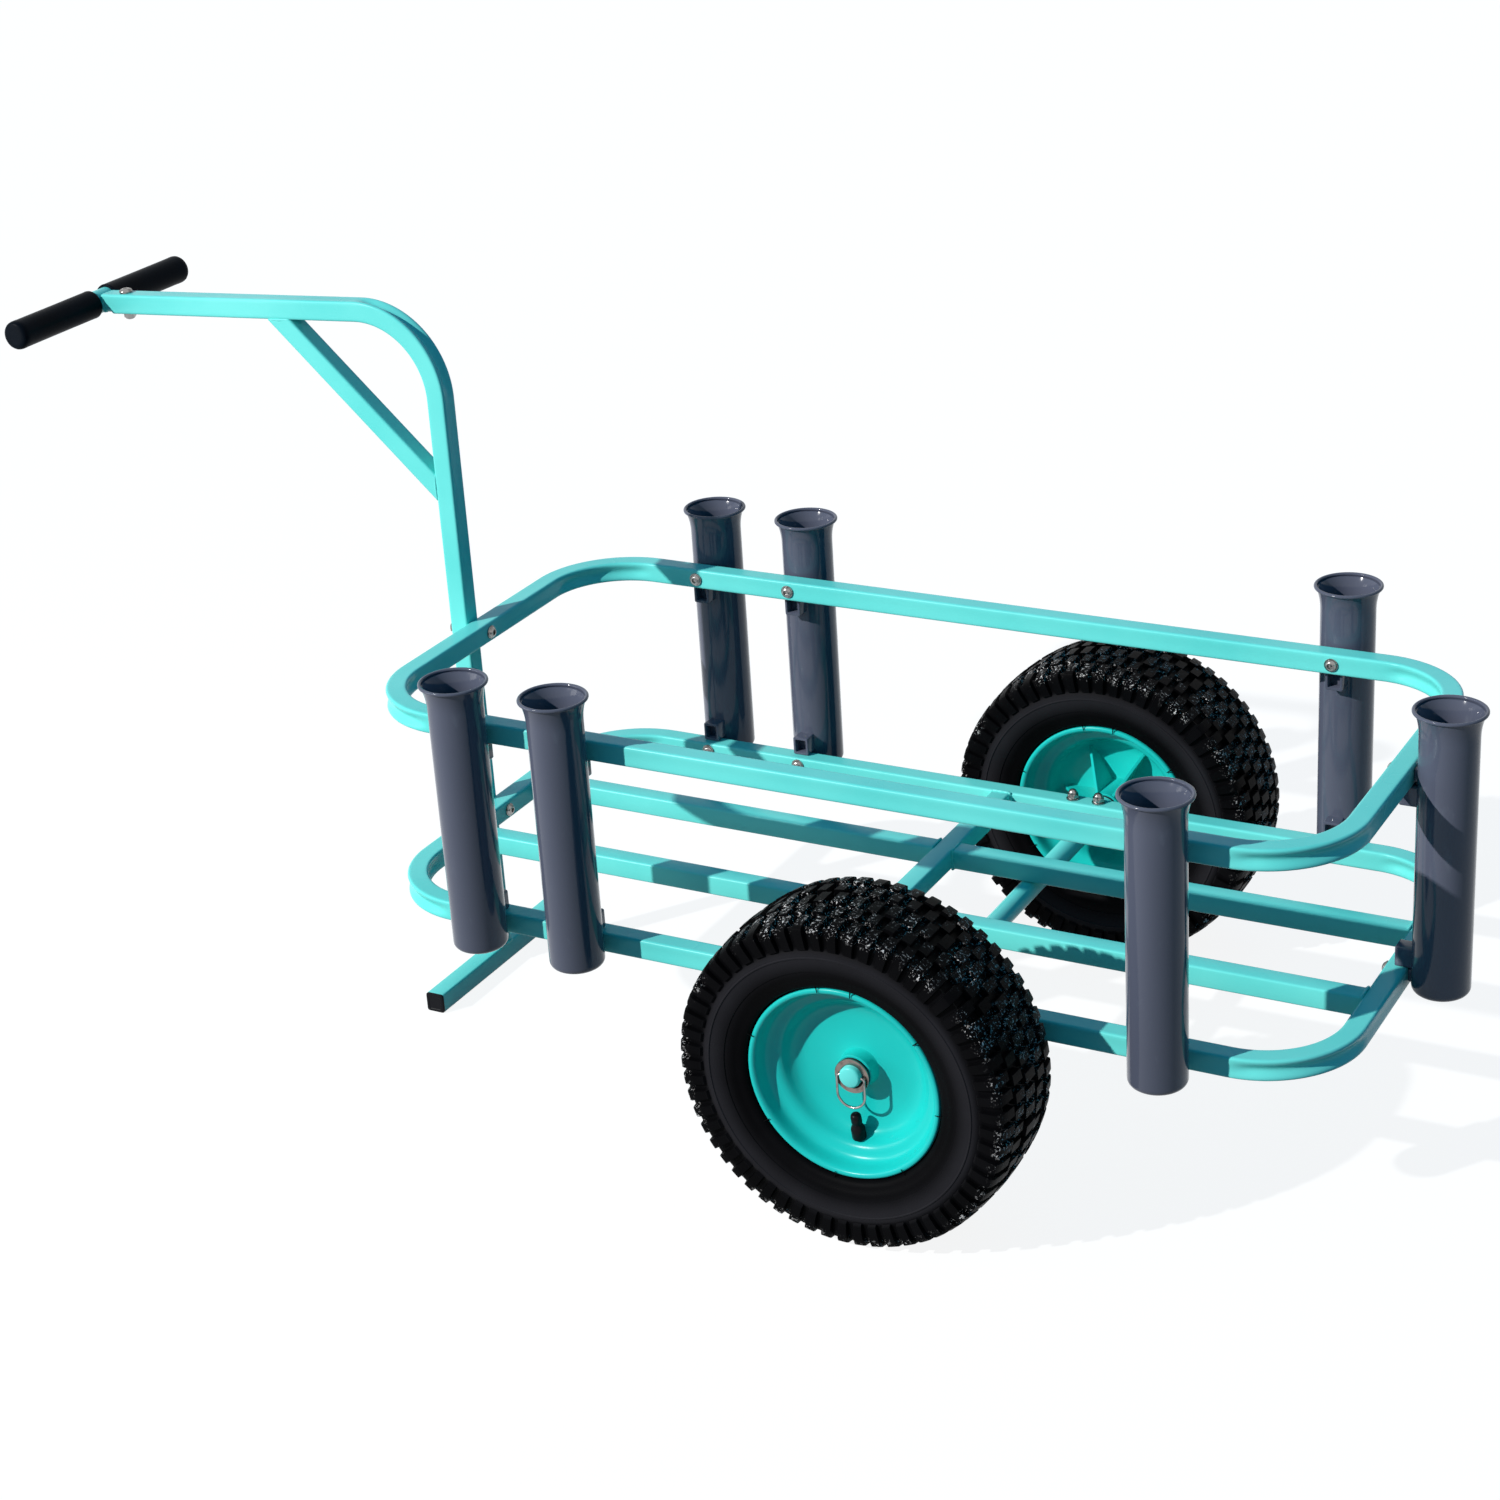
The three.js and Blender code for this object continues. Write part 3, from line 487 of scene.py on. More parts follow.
# How far back from the cap's outer face each outline lies, and its size against the tube's.
cap_levels = ((16.4, 0.78), (2.4, 0.8), (2.4, 1), (0.9, 1), (0.25, 0.96), (0, 0.88), (0, 0.7), (0.35, 0.66))
for label, side in (("near", -1), ("far", 1)):
    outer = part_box("foot_cap_" + label)[side > 0].y
    rings = [
        [Vector((post_x + a * grow, outer - side * back * mm, tube / 2 + b * grow)) for a, b in cap_section]
        for back, grow in cap_levels
    ]
    points, faces = skin(rings)
    if side < 0:
        faces = [tuple(reversed(f)) for f in faces]
    add_piece("foot_end_cap_" + label, (points, faces), black_plastic, "frame", ["foot_cap_" + label])

# The T-bar. A round steel tube welded to a square stem, which slides into the boom and is held by
# one bolt through both. The rubber grips are pushed over its ends.
t_bar_radius = 11.1 * mm
t_bar_wall = 2 * mm
stem_size = 15 * mm
stem_length = 62 * mm
t_bar_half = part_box("t_bar")[1].y
t_centre = Vector((t_bar_axis.x, 0, t_bar_axis.y))
along_boom = Vector((-boom_direction.x, 0, -boom_direction.y))
y_axis = Vector((0, 1, 0))


def around(centre, axis, radius, count):
    """A ring of points square to an axis."""
    across, up = axes_round(axis)
    return [
        centre + radius * (across * math.cos(a) + up * math.sin(a))
        for a in (2 * math.pi * i / count for i in range(count))
    ]


def turned(profile, centre, axis, count=48, closed=False):
    """A turned solid, from pairs of radius and distance along the axis in millimetres."""
    axis = axis.normalized()
    return skin([around(centre + axis * along * mm, axis, max(radius, 0.02) * mm, count)
                 for radius, along in profile], along=closed)


stem = straight_tube(t_centre + along_boom * t_bar_radius * 0.9,
                     t_centre + along_boom * (t_bar_radius + stem_length),
                     square_section(stem_size, 1.8 * mm))
bar_profile = [(r / mm, y / mm) for r, y in (
    (t_bar_radius, -t_bar_half), (t_bar_radius, t_bar_half),
    (t_bar_radius - t_bar_wall, t_bar_half), (t_bar_radius - t_bar_wall, -t_bar_half))]
add_piece("t_bar_tube", join_shells(turned(bar_profile, t_centre, y_axis, closed=True), stem),
          tube_paint, "frame", ["t_bar"])
beads.append(weld_bead(t_centre + along_boom * (t_bar_radius + 0.2 * mm), along_boom, 50, stem_size))
add_piece("weld_beads", join_shells(*beads), tube_paint, "frame", (), sharp=60)


def rubber_changes(base, grain, depth):
    """Moulded rubber: a matt grain, a little greyer where hands or dust have been."""
    def changes(shade):
        worn = shade.noise(30, 4)
        return {
            "Base Color": worn.between(0.4, 0.8).blend(base, tuple(c * 1.6 + 0.001 for c in base)),
            "Roughness": 0.26 + worn * 0.22,
            "Normal": shade.bump(shade.noise(grain, 3), depth, 0.5),
        }
    return changes


grip_rubber = finish_material("grip_rubber", rubber_changes((0.0015, 0.0032, 0.006), 1200, 0.08 * mm),
                              specular_ior_level=0.025)
grip_profile = [
    (11.4, 0.3), (12.8, 0), (13.5, 0.5), (13.7, 1.6), (13.55, 3.2), (13.5, 60), (13.55, 100),
    (13.7, 104), (13.68, 107), (13.3, 109.2), (12.4, 110.8), (10.8, 111.7), (8, 112), (4, 112), (0.1, 112),
]
for label, side in (("near", -1), ("far", 1)):
    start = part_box("grip_" + label)[side < 0].y
    shell = turned(grip_profile, Vector((t_bar_axis.x, start, t_bar_axis.y)), y_axis * side, 64)
    add_piece("rubber_grip_" + label, shell, grip_rubber, "frame", ["grip_" + label],
              sharp=50)

# The bolts. Stainless M6 button heads with a hexagon socket over a plain washer. The shank goes
# through the rail into the holder's wall, where a hexagon nut draws it tight.


def steel_changes(base, other):
    """Polished steel: faint turning marks and small stains."""
    def changes(shade):
        stain = shade.noise(160, 4)
        lines = shade.noise(700, 2, (1, 1, 6))
        return {
            "Base Color": stain.between(0.45, 0.75).blend(base, other),
            "Roughness": 0.12 + stain * 0.16 + lines * 0.06,
            "Normal": shade.bump(lines, 0.02 * mm, 0.4),
        }
    return changes


bright_steel = finish_material("bright_steel", steel_changes((0.31, 0.305, 0.30), (0.15, 0.145, 0.14)),
                               metallic=1.0)


def hexagon(width, count=48):
    """A ring of points round a hexagon, as pairs in millimetres, for its width across the flats."""
    points = []
    for i in range(count):
        angle = 2 * math.pi * i / count
        reach = width / 2 / math.cos(angle % (math.pi / 3) - math.pi / 6)
        points.append((reach * math.cos(angle), reach * math.sin(angle)))
    return points


def disc(radius, count=48):
    """A ring of points round a circle, as pairs in millimetres."""
    turns = (2 * math.pi * i / count for i in range(count))
    return [(radius * math.cos(a), radius * math.sin(a)) for a in turns]


def stack(levels, base=Vector()):
    """A closed shell over flat outlines at rising heights, both in millimetres."""
    return skin([[(base + Vector((x, y, z))) * mm for x, y in outline] for outline, z in levels])


washer_radius = 6.2
washer_top = 1.5
dome_rise = 3.2
nut_width = 10
nut_height = 4
cap_rise = 2.7
shank_radius = 2.95


def bolt_shells(grip, head_radius, cap_nut=False):
    """Washer, button head and nut on the Z axis. The head sits on Z = 0 and the nut under -grip."""
    washer = stack([(disc(washer_radius), 0.3), (disc(washer_radius), washer_top - 0.3),
                    (disc(washer_radius - 0.3), washer_top), (disc(3), washer_top)])
    dome = [(disc(head_radius * math.cos(a)), washer_top + dome_rise * math.sin(a) ** 1.15)
            for a in (math.radians(d) for d in (0, 8, 18, 28, 38, 48, 57))]
    socket = [(hexagon(4.3), 4.15), (hexagon(4.1), 3.9), (hexagon(4), 2.2), (disc(0.2), 1.9)]
    head = stack([(disc(head_radius * 0.9), washer_top - 0.1)] + dome + socket)
    end = -grip - 0.3
    top = end - nut_height
    if cap_nut:
        levels = [(hexagon(nut_width), end), (hexagon(nut_width), top)] + [
            (disc(nut_width / 2 * math.cos(a)), top - cap_rise * math.sin(a))
            for a in (math.radians(d) for d in (5, 25, 45, 65, 85))]
    else:
        levels = [(disc(4.7), end), (hexagon(nut_width), end - 0.5), (hexagon(nut_width), top + 0.5),
                  (disc(4.7), top), (disc(2.9), top), (disc(2.7), top - 0.6)]
    shank = stack([(disc(shank_radius), end - 0.2), (disc(shank_radius), washer_top - 0.1)])
    return join_shells(washer, head, shank, stack(list(reversed(levels))))


holder_sites = {
    "near_front": Vector((0, 1, 0)), "near_middle": Vector((0, 1, 0)), "near_rear": Vector((0, 1, 0)),
    "far_front": Vector((0, -1, 0)), "far_middle": Vector((0, -1, 0)), "far_rear": Vector((0, -1, 0)),
    "rear_end": Vector((-1, 0, 0)),
}
holder_bolt_grip = 25.7
post_bolt_grip = 38.4
button_radius = 5.3
stem_button_radius = 6.5
head_length = 4.7 * mm
stem_bolt_place = 35.5 * mm


def facing(origin, axis, spin=0.0):
    """A placement whose Z points along an axis."""
    turn = axis.to_track_quat("Z", "Y").to_matrix().to_4x4()
    return Matrix.Translation(origin) @ turn @ Matrix.Rotation(spin, 4, "Z")


def add_bolt(node, mesh, axis, seed):
    """Places a bolt so that its head ends where the solid's end is."""
    low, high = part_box(node)
    seat = (low + high) / 2 + axis * (abs((high - low).dot(axis)) / 2 - head_length)
    spin = random.Random(seed).uniform(0, math.pi / 3)
    place_piece(node + "_screw", mesh, "frame", [node], facing(seat, axis, spin))


holder_bolt = make_mesh("holder_bolt", bolt_shells(holder_bolt_grip, button_radius), bright_steel, sharp=30)
post_bolt = make_mesh("post_bolt", bolt_shells(post_bolt_grip, button_radius), bright_steel, sharp=30)
stem_bolt = make_mesh("stem_bolt", bolt_shells(tube / mm, stem_button_radius, cap_nut=True), bright_steel,
                      sharp=30)
for i, (site, inward) in enumerate(holder_sites.items()):
    for j, level in enumerate(("upper", "lower")):
        add_bolt(f"holder_bolt_{level}_{site}", holder_bolt, inward, 2 * i + j)
for i, level in enumerate(("upper", "lower")):
    add_bolt(f"post_bolt_{level}", post_bolt, Vector((1, 0, 0)), 30 + i)
boom_up = Vector((-math.sin(boom_droop), 0, math.cos(boom_droop)))
place_piece("t_bar_bolt_screw", stem_bolt, "frame", ["t_bar_bolt"],
            facing(t_centre + along_boom * stem_bolt_place + boom_up * tube / 2, boom_up, 0.3))

# The rod holders. Injection moulded in dark slate-grey plastic, glossy, each a tube with a flared
# mouth, two pads and two hollow bosses that catch the rails, and a floor with a drain hole.


def holder_changes(shade):
    flow = shade.noise(14, 4, (1, 1, 0.12))
    fine = shade.noise(1400, 3)
    scuff = shade.noise(60, 6, (1, 1, 0.4)).between(0.62, 0.74) * 0.22
    tone = flow.between(0.3, 0.7).blend((0.097, 0.105, 0.147), (0.076, 0.084, 0.119))
    return {
        "Base Color": scuff.blend(tone, (0.17, 0.19, 0.23)),
        "Roughness": 0.06 + flow * 0.10 + scuff * 0.5,
        "Normal": shade.bump(fine, 0.05 * mm, 0.35),
    }


holder_plastic = finish_material("slate_plastic", holder_changes, specular_ior_level=0.2)
holder_low, holder_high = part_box("rod_holder_near_front")
holder_radius = 24.5
holder_bore = 21
holder_length = (holder_high.z - holder_low.z) / mm
mouth_radius = (holder_high.x - holder_low.x) / 2 / mm
lip_radius = 1.6
flare_height = 24
floor_height = 3
foot_round = 6
drain_radius = 6
stand_off = 2
pad_width, pad_height = 14, 12
boss_width, boss_height = 16, 18
boss_reach = 11
rail_gap = 0.3
lower_rail_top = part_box("lower_rail")[1].z
pad_levels = [(sum(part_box(f"holder_bolt_{level}_near_front"), Vector()).z / 2 - holder_low.z) / mm
              for level in ("upper", "lower")]
boss_levels = [(rail_low.z - holder_low.z) / mm - rail_gap - boss_height / 2,
               (lower_rail_top - holder_low.z) / mm + rail_gap + boss_height / 2]
# Each step of a pad or boss: its place from the end, how much narrower it is, and its corners.
pad_steps = ((-0.9, 0, 2), (-0.3, 1.2, 2))
boss_steps = ((-0.8, 0, 1.6), (-0.2, 0.4, 1.5), (0, 1.2, 1.4), (0, 4.4, 1.2), (-0.5, 5.2, 1), (-9, 5.4, 1))


def rounded_box(width, height, corner, steps=4):
    """Points round a rectangle with round corners, as pairs from its centre."""
    points = []
    for sx, sy, start in ((1, 1, 0), (-1, 1, 1), (-1, -1, 2), (1, -1, 3)):
        for i in range(steps + 1):
            a = math.pi / 2 * (start + i / steps)
            points.append((sx * (width / 2 - corner) + corner * math.cos(a),
                           sy * (height / 2 - corner) + corner * math.sin(a)))
    return points


def side_block(level, root, end, width, height, steps):
    """A block that stands out along +Y at a level, from its root in the wall to its stepped end."""
    outlines = [(root, 0, steps[0][2])] + [(end + back, less, corner) for back, less, corner in steps]
    return skin([
        [Vector((a, y, level + b)) * mm for a, b in rounded_box(width - less, height - less, corner)]
        for y, less, corner in outlines][::-1])


def holder_shells():
    flare_start = holder_length - flare_height
    lip_level = holder_length - lip_radius
    steps = 14

    def wall(inset, share):
        """Radius and level of the wall, so far in from its outside, at a share of the flare."""
        flare = mouth_radius - lip_radius - holder_radius + inset * 0.55
        return holder_radius - inset + flare * share ** 2.2, flare_start + (lip_level - flare_start) * share

    outer = [wall(0, i / steps) for i in range(steps)]
    inner = [wall(holder_radius - holder_bore, i / steps) for i in range(steps)]
    lip = [(mouth_radius - lip_radius + lip_radius * math.cos(a), lip_level + lip_radius * math.sin(a))
           for a in (math.radians(d) for d in range(-60, 241, 25))]
    foot = [(holder_radius - foot_round + foot_round * math.sin(a), foot_round - foot_round * math.cos(a))
            for a in (math.radians(d) for d in range(0, 91, 15))]
    profile = [(drain_radius, 0.6), (drain_radius + 0.6, 0)] + foot + outer + lip + inner[::-1]
    profile += [(holder_bore, floor_height + 2), (holder_bore - 2, floor_height),
                (drain_radius + 0.6, floor_height), (drain_radius, floor_height - 0.6)]
    shells = [turned(profile, Vector(), Vector((0, 0, 1)), 88, closed=True)]
    root = holder_bore + 1.5
    face = holder_radius + stand_off
    for level in pad_levels:
        shells.append(side_block(level, root, face, pad_width, pad_height, pad_steps))
    for level in boss_levels:
        shells.append(side_block(level, root, face + boss_reach, boss_width, boss_height, boss_steps))
    return join_shells(*shells)


holder_mesh = make_mesh("rod_holder_body", holder_shells(), holder_plastic, sharp=40)
for site, inward in holder_sites.items():
    node = "rod_holder_" + site
    low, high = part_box(node)
    foot = Vector(((low.x + high.x) / 2, (low.y + high.y) / 2, low.z))
    if inward.x:
        foot.x = rail_high.x + (stand_off + holder_radius) * mm
    else:
        foot.y = -inward.y * (rail_high.y + (stand_off + holder_radius) * mm)
    turn = math.atan2(inward.y, inward.x) - math.pi / 2
    place_piece(node + "_tube", holder_mesh, "frame", [node],
                Matrix.Translation(foot) @ Matrix.Rotation(turn, 4, "Z"))

# The axle. A round steel bar under the lower loop, painted with the frame, with a stop collar
# inside each wheel. Two stainless U-bolts with cap nuts clamp it to the loop's sides.
axle_low, axle_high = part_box("axle")
axle_centre = (axle_low + axle_high) / 2
axle_end = axle_high.y / mm
axle_radius = 19.05 / 2
collar_radius = 14.5
collar_width = 8
collar_face = 239.4
half_profile = [
    (0.1, axle_end), (axle_radius - 2, axle_end), (axle_radius - 1.1, axle_end - 0.4),
    (axle_radius - 0.3, axle_end - 1.3), (axle_radius, axle_end - 2.4),
    (axle_radius, collar_face), (collar_radius - 1, collar_face), (collar_radius, collar_face - 1),
    (collar_radius, collar_face - collar_width + 1), (collar_radius - 1, collar_face - collar_width),
    (axle_radius + 0.6, collar_face - collar_width), (axle_radius, collar_face - collar_width - 1),
]
axle_profile = [(r, -y) for r, y in half_profile] + half_profile[::-1]
add_piece("axle_bar", turned(axle_profile, axle_centre, y_axis, 64), tube_paint, "frame", ["axle"])

u_rod_radius = 3
u_leg = axle_radius + 0.3 + u_rod_radius
u_bend_top = 4
u_leg_above_rail = 7
u_cap_radius, u_cap_base, u_cap_rise = 4.4, 6, 4.3


def wire_shell(places, radius, origin, plane=y_axis, sides=16):
    """A wire through places in a plane, in millimetres from an origin."""
    rings = []
    for i, spot in enumerate(places):
        direction = (places[min(i + 1, len(places) - 1)] - places[max(i - 1, 0)]).normalized()
        out = plane.cross(direction)
        rings.append([origin + (spot + radius * (out * math.cos(t) + plane * math.sin(t))) * mm
                      for t in (2 * math.pi * k / sides for k in range(sides))])
    return skin(rings)


def arc_places(x, z, radius, start, end, steps):
    """Places on an arc in the upright plane that runs along the trolley."""
    turns = (start + (end - start) * i / steps for i in range(steps + 1))
    return [Vector((x + radius * math.cos(a), 0, z + radius * math.sin(a))) for a in turns]


for label, side in (("near", -1), ("far", 1)):
    at = Vector((axle_centre.x, side * (rail_high.y - tube / 2), axle_centre.z))
    rail_level = (lower_rail_top - at.z) / mm
    leg_top = rail_level + u_leg_above_rail
    places = [Vector((-u_leg, 0, leg_top)), Vector((-u_leg, 0, u_bend_top))]
    places += arc_places(0, 0, u_leg, math.pi, 2 * math.pi, 24)
    places += [Vector((u_leg, 0, u_bend_top)), Vector((u_leg, 0, leg_top))]
    shells = [wire_shell(places, u_rod_radius, at)]
    for leg in (-u_leg, u_leg):
        levels = [(disc(washer_radius), 0.3), (disc(washer_radius), 1.3), (disc(nut_width / 2), 1.4),
                  (hexagon(nut_width), 1.8), (hexagon(nut_width), 5.2), (disc(nut_width / 2), 5.9)]
        levels += [(disc(u_cap_radius * math.cos(a)), u_cap_base + u_cap_rise * math.sin(a))
                   for a in (math.radians(d) for d in (0, 15, 30, 45, 60, 75, 88))]
        points, faces = stack(levels, Vector((leg, 0, rail_level)))
        shells.append(([at + p for p in points], faces))
    add_piece("u_bolt_" + label, join_shells(*shells), bright_steel, "frame", ["axle_u_bolt_" + label])

# The wheels. A pressed steel rim, painted a greener teal, with a disc, a hub tube and six gussets
# on the inner side. Black bushes press into the hub's ends, and a rubber valve stands in the well.
rim_paint = finish_material(
    "rim_paint", paint_changes((0.012, 0.55, 0.50), (0.008, 0.49, 0.45), (0.18, 0.74, 0.69)),
    specular_ior_level=0.16)
bush_nylon = finish_material("bush_nylon", plastic_changes((0.010, 0.010, 0.011), 1800),
                             specular_ior_level=0.08)
valve_rubber = finish_material("valve_rubber", rubber_changes((0.003, 0.003, 0.004), 1600, 0.06 * mm),
                               specular_ior_level=0.1)
dull_zinc = finish_material("dull_zinc", steel_changes((0.26, 0.215, 0.195), (0.15, 0.12, 0.11)),
                            metallic=0.9)

# Radius and distance from the wheel's middle, down the open side of the rim from its rolled lip to
# the well, and up its tyre side from the well to the lip.
rim_open = [
    (86.8, 37), (86.8, 38), (86.5, 39), (85.8, 39.8), (84.8, 40.1), (83.7, 40.1), (82.6, 39.7),
    (81.7, 38.9), (81, 37.8), (80.4, 36.4), (79.9, 34.4), (79.5, 32.2), (79, 29.8), (78.2, 27.4),
    (76.8, 25.4), (74.6, 23.9), (71.8, 22.9), (69, 21.9), (66.7, 20.2), (65.1, 17.9), (63.9, 15.3),
]
rim_seat = [
    (66, 14.6), (68, 17), (71.6, 19.2), (75.6, 21), (78.8, 23.6), (80.8, 27), (82, 30.6), (82.9, 33.4),
    (84.2, 35.2), (85.8, 36.1),
]
rim_front = [(62, 12.6), (60, 10.2), (57.4, 8.4), (54, 7), (50, 6.2), (46, 6), (19.5, 6), (17.2, 6.8),
             (16, 9), (16, 18.3), (15.4, 19), (13.2, 19)]
rim_back = [(13.2, -35), (15.4, -35), (16, -34.4), (16, 0), (17, 2.6), (19.5, 3.5), (46, 3.5), (50, 2.4),
            (55, -0.5), (59.5, -4), (62.4, -9)]
rim_profile = rim_back + [(r, -d) for r, d in rim_open[::-1]] + [(r, -d) for r, d in rim_seat[::-1]]
rim_profile += rim_seat + rim_open + rim_front
rib_outline = [(14.5, 4.5), (14.5, -33), (17.5, -33), (19, -31.5), (54, -3.5), (55.5, 0), (54.5, 4)]
rib_half = 1.5
valve_place = 15
valve_seat = 61
valve_lean = math.radians(12)
valve_profile = [
    (0.1, -3), (3.4, -3), (3.4, -1.8), (5.9, -1.6), (6.1, -0.8), (6.1, 7), (5.9, 8.6), (5.1, 10.6), (4, 12.2),
    (3.7, 13.2), (4.3, 13.9), (4.6, 14.8), (4.6, 20.2), (4.3, 22), (3.4, 23.3), (2, 23.9), (0.1, 24),
]
bush_profile = [(9.85, -0.3), (9.85, -19.5), (12.8, -19.5), (12.8, -1.5), (14.4, -1.5), (14.4, -0.4), (14, 0),
                (10.3, 0)]
washer_profile = [(10.6, -0.9), (15.1, -0.9), (15.45, -0.6), (15.45, 0.6), (15.1, 0.98), (10.9, 0.98),
                  (10.6, 0.7)]


def wheel_spot(label):
    """Centre of a wheel and the direction that points away from the trolley."""
    low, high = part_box("rim_" + label)
    return (low + high) / 2, Vector((0, -1 if label == "near" else 1, 0))


def rib_shell(centre, outward, angle):
    """One gusset between the hub tube and the back of the disc, with its edges eased."""
    radial = Vector((math.cos(angle), 0, math.sin(angle)))
    aside = radial.cross(outward)
    rings = []
    for across, eased in ((-1, 0.25), (-0.8, 0), (0.8, 0), (1, 0.25)):
        rings.append([
            centre + (radial * (r - (eased if r > 15 else 0)) + outward * (d + (eased if d < 0 else 0))
                      + aside * across * rib_half) * mm
            for r, d in rib_outline])
    return skin(rings)


def add_wheel_metal(label):
    centre, outward = wheel_spot(label)
    body = "wheel_" + label
    shells = [turned(rim_profile, centre, outward, 128, closed=True)]
    shells += [rib_shell(centre, outward, i * math.pi / 3) for i in range(6)]
    add_piece("pressed_rim_" + label, join_shells(*shells), rim_paint, body, ["rim_" + label],
              sharp=38)
    for end, away in (("outer", outward), ("inner", -outward)):
        node = f"hub_bush_{end}_{label}"
        low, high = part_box(node)
        face = Vector((centre.x, high.y if away.y > 0 else low.y, centre.z))
        add_piece(node + "_ring", turned(bush_profile, face, away, 64, closed=True), bush_nylon, body,
                  [node])
    seat = centre + outward * valve_place * mm - Vector((0, 0, valve_seat * mm))
    lean = outward * math.sin(valve_lean) + Vector((0, 0, math.cos(valve_lean)))
    add_piece("valve_stem_" + label, turned(valve_profile, seat, lean), valve_rubber, body,
              ["valve_" + label])
    low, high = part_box("axle_washer_" + label)
    add_piece("washer_" + label, turned(washer_profile, (low + high) / 2, outward, 64, closed=True),
              dull_zinc, "frame", ["axle_washer_" + label])


add_wheel_metal("near")
add_wheel_metal("far")

# The keeper rings. Spring wire bent to a D, whose straight top runs through a cross hole near the
# axle's end. Each hangs by its own weight and is swung up to take the wheel off.
wire_radius = 1.1
ring_half = 12.5
ring_drop = 29
ring_corner = 2.4
ring_gap = 0.3
ring_places = [Vector((0, 0, 0))]
ring_places += arc_places(ring_half - ring_corner, -ring_corner, ring_corner, math.pi / 2, 0, 6)
ring_places += arc_places(0, ring_half - ring_drop, ring_half, 0, -math.pi, 32)
ring_places += arc_places(ring_corner - ring_half, -ring_corner, ring_corner, math.pi, math.pi / 2, 6)
ring_places += [Vector((-ring_gap, 0, 0))]
for label in ("near", "far"):
    low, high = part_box("keeper_ring_" + label)
    hinge = Vector(((low.x + high.x) / 2, (low.y + high.y) / 2, axle_centre.z))
    add_piece("lock_ring_" + label, wire_shell(ring_places, wire_radius, hinge, sides=12), bright_steel,
              "keeper_ring_" + label, ["keeper_ring_" + label], sharp=60)

# The tyres. Black rubber, tubeless, with a row of square lugs over each shoulder and staggered
# blocks across the crown. The side walls carry a moulded line and fine rings above the bead.


def tyre_changes(shade):
    cloud = shade.noise(18, 5)
    place = shade.node("ShaderNodeTexCoord", output="Object")
    flat = shade.node("ShaderNodeVectorMath", {"operation": "MULTIPLY"}, {0: place, 1: (1, 0, 1)})
    radius = shade.node("ShaderNodeVectorMath", {"operation": "LENGTH"}, {0: flat}, "Value")
    crown = radius.between(0.136, 0.143)
    # Light grey specks in patches, set over the crown only.
    speck_noise = shade.noise(430, 5, roughness=0.7)
    speck_patches = shade.noise(26, 4).between(0.42, 0.60)
    specks = speck_noise.between(0.575, 0.605) * crown * speck_patches
    flank = radius.between(0.128, 0.119) * radius.between(0.099, 0.118)
    tone = cloud.between(0.35, 0.7).blend((0.0009, 0.0009, 0.0012), (0.0024, 0.0024, 0.0030))
    greyed = (flank * (0.45 + cloud * 0.7)).blend(tone, (0.020, 0.019, 0.022))
    return {
        "Base Color": specks.blend(greyed, (0.72, 0.68, 0.66)),
        "Roughness": 0.44 + cloud * 0.2 - crown * 0.1,
        "Normal": shade.bump(shade.noise(700, 4), 0.3 * mm, 0.6),
    }


tyre_rubber = finish_material("tyre_rubber", tyre_changes, specular_ior_level=0.025)
# Short rubber hairs that the mould left round each bead, in degrees from the top of the wheel.
mould_hairs = (-12, 8, 52, 96, 143, 187, 236, 290)
hair_root, hair_tip, hair_half = 90.5, 83.5, 41.2
lug_count = 58
worn_block = 0.72
block_share = 0.6
flank_share = 0.06


def block_wave(phase):
    """1 on a block and 0 in the gap after it, for a place in its pitch."""
    phase = phase % 1
    rise = soft_step(phase / flank_share)
    fall = soft_step((block_share + flank_share - phase) / flank_share)
    return min(rise, fall)


# Each station across the tyre: half-width and radius of the block tops, how deep a gap is there,
# the row's shift round the tyre in pitches, and whether blocks stand there.
tread_stations = [
    (0, 150, 6, 0.5, 1), (8.4, 149.8, 6, 0.5, 1), (9.2, 149.8, 6, 0.5, 0), (12.4, 149.6, 6, 0.0, 0),
    (13.2, 149.6, 6, 0.0, 1), (27.0, 148.7, 6, 0.0, 1), (27.8, 148.6, 6, 0.0, 0), (31.0, 148.4, 6, 0.5, 0),
    (31.8, 148.3, 6, 0.5, 1), (40, 147.2, 6, 0.5, 1), (46.5, 145.8, 6, 0.5, 1), (49.4, 144.2, 5.6, 0.5, 1),
    (50.4, 141.5, 5, 0.5, 1), (50.5, 136, 4.6, 0.5, 1), (50.1, 130, 4.2, 0.5, 1), (49.7, 126, 3.6, 0.5, 1),
    (49.2, 124.6, 2.2, 0.5, 0),
]
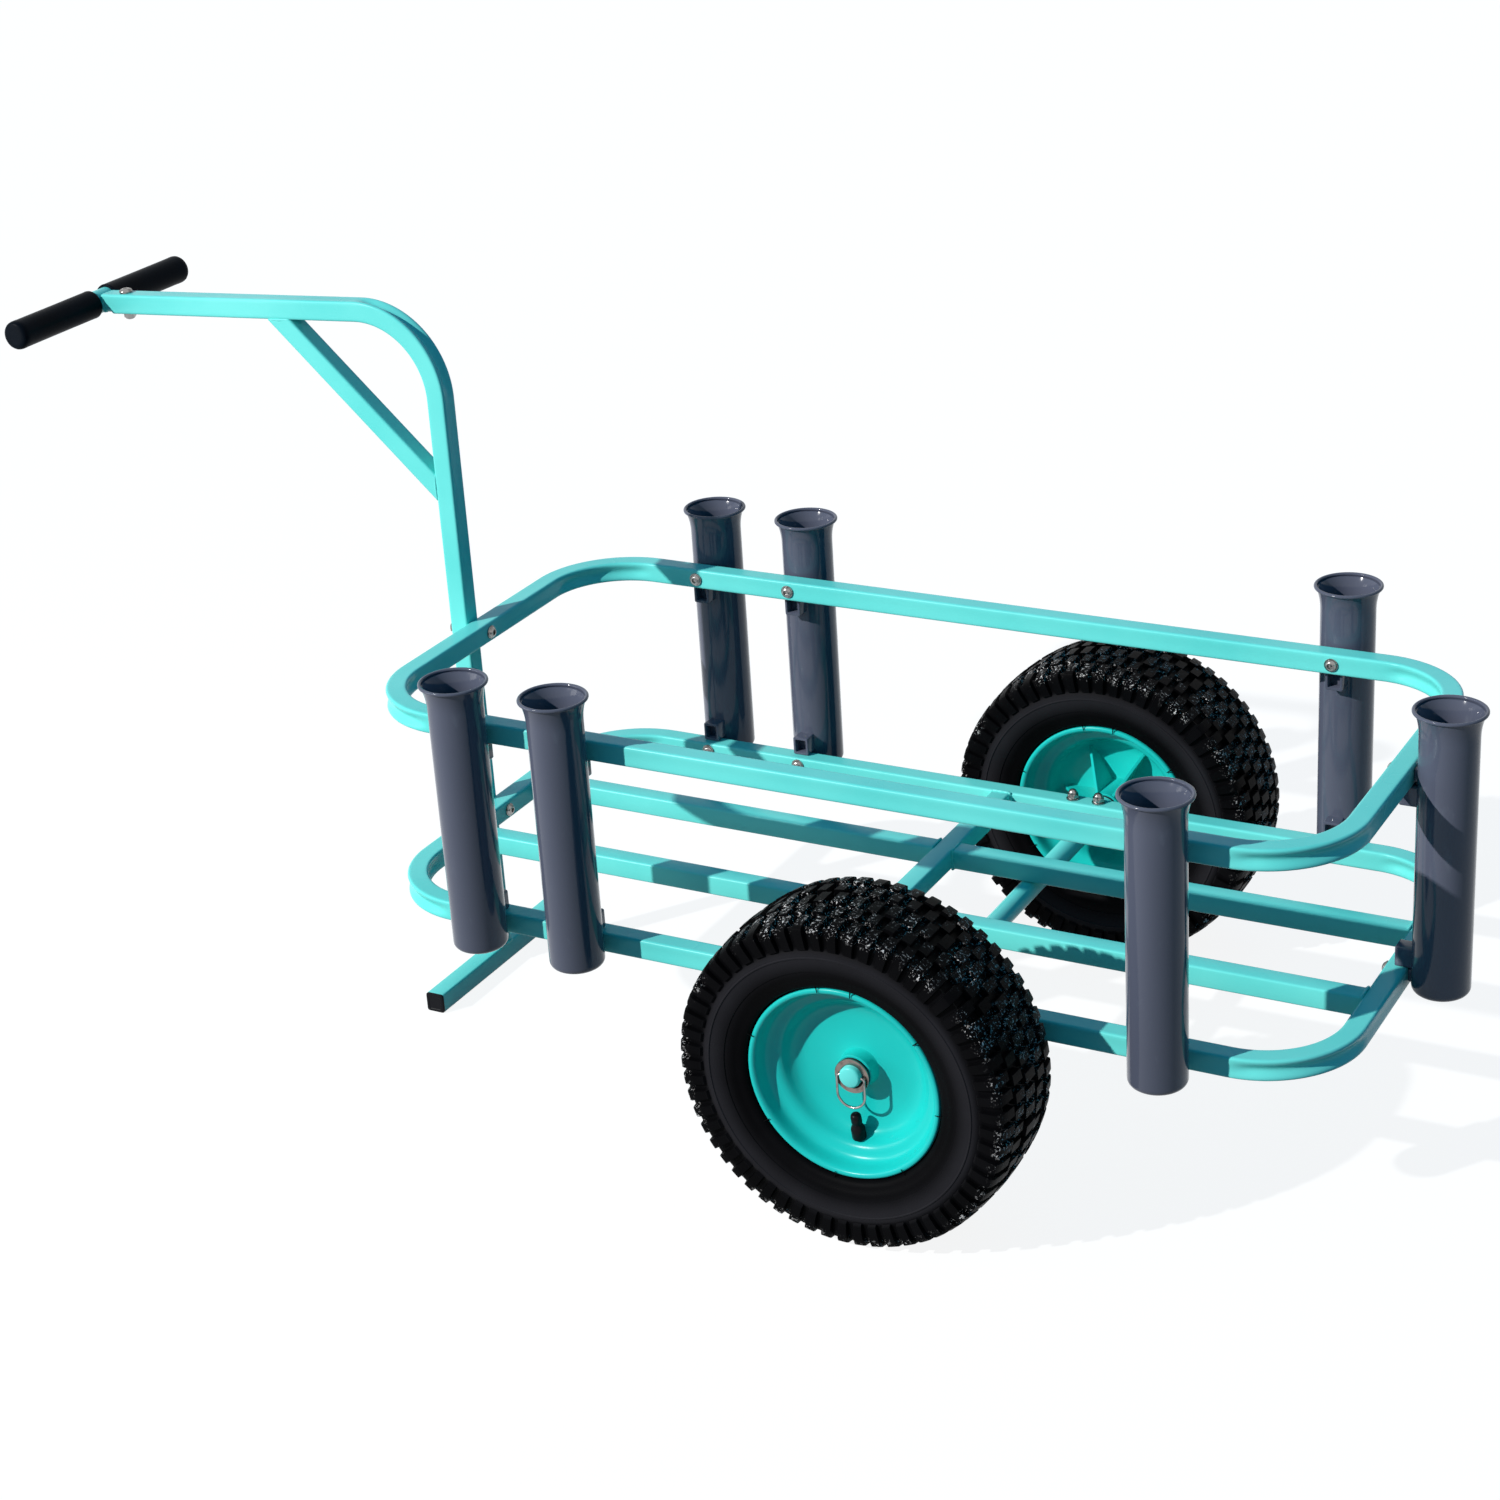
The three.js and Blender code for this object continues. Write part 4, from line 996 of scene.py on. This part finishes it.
side_stations = [
    (48.8, 122), (48.9, 119.2), (49.6, 118.6), (49.6, 117.8), (48.9, 117.2), (48.4, 112), (47.2, 106),
    (47.1, 105.2), (46.3, 104.8), (46, 101), (44.9, 97), (44.4, 96.4), (43.8, 93), (42.6, 90.4),
    (40.9, 88.8), (38, 87.9), (36, 87.2), (34.2, 84.6), (32.4, 83), (29, 82), (27.4, 83), (29, 90),
    (43, 100), (43.5, 118), (36, 131), (0, 137),
]


def pitch_samples():
    """Places round one pitch, dense at the flanks of a block, in both staggers."""
    edges = (0.0, flank_share, block_share / 2, block_share, block_share + flank_share, 0.86)
    return sorted({round((e + shift) % 1, 4) for e in edges for shift in (0, 0.5)})


def tyre_line(share, sign, heights):
    """One half of the tyre's section at a share of its turn, from the crown round to the inside."""
    line = []
    for half, radius, depth, shift, block in tread_stations:
        phase = share * lug_count + shift
        height = block_wave(phase) * block
        if half < 30:
            height *= heights[shift, int(phase) % lug_count]
        sink = depth * (1 - height)
        lean = min(max((half - 40) / 10, 0), 1)
        line.append((sign * (half - sink * lean * 0.85), radius - sink * (1 - lean)))
    return line + [(sign * half, radius) for half, radius in side_stations]


def add_tyre(label, seed):
    centre, outward = wheel_spot(label)
    chooser = random.Random(seed)
    heights = {(row, i): chooser.choice((worn_block, 1.0, 1.0))
               for row in (0.0, 0.5) for i in range(lug_count)}
    columns = []
    for share in ((i + s) / lug_count for i in range(lug_count) for s in pitch_samples()):
        angle = 2 * math.pi * share
        left, right = (tyre_line(share, sign, heights) for sign in (-1, 1))
        columns.append([
            Vector((math.sin(angle) * radius, outward.y * half, -math.cos(angle) * radius)) * mm
            for half, radius in left[-2:0:-1] + right
        ])
    shells = [skin(columns, along=True)]
    for degrees in mould_hairs:
        radial = Vector((math.sin(math.radians(degrees)), 0, math.cos(math.radians(degrees))))
        for half in (-hair_half, hair_half):
            root, tip = (radial * r * mm + outward * half * mm for r in (hair_root, hair_tip))
            shells.append(skin([around(root, -radial, 0.7 * mm, 8), around(tip, -radial, 0.35 * mm, 8)]))
    mesh = make_mesh("tyre_casing_" + label, join_shells(*shells), tyre_rubber, sharp=32)
    place_piece("tyre_casing_" + label, mesh, "wheel_" + label, ["tyre_" + label],
                Matrix.Translation(centre))


add_tyre("near", 7)
add_tyre("far", 8)
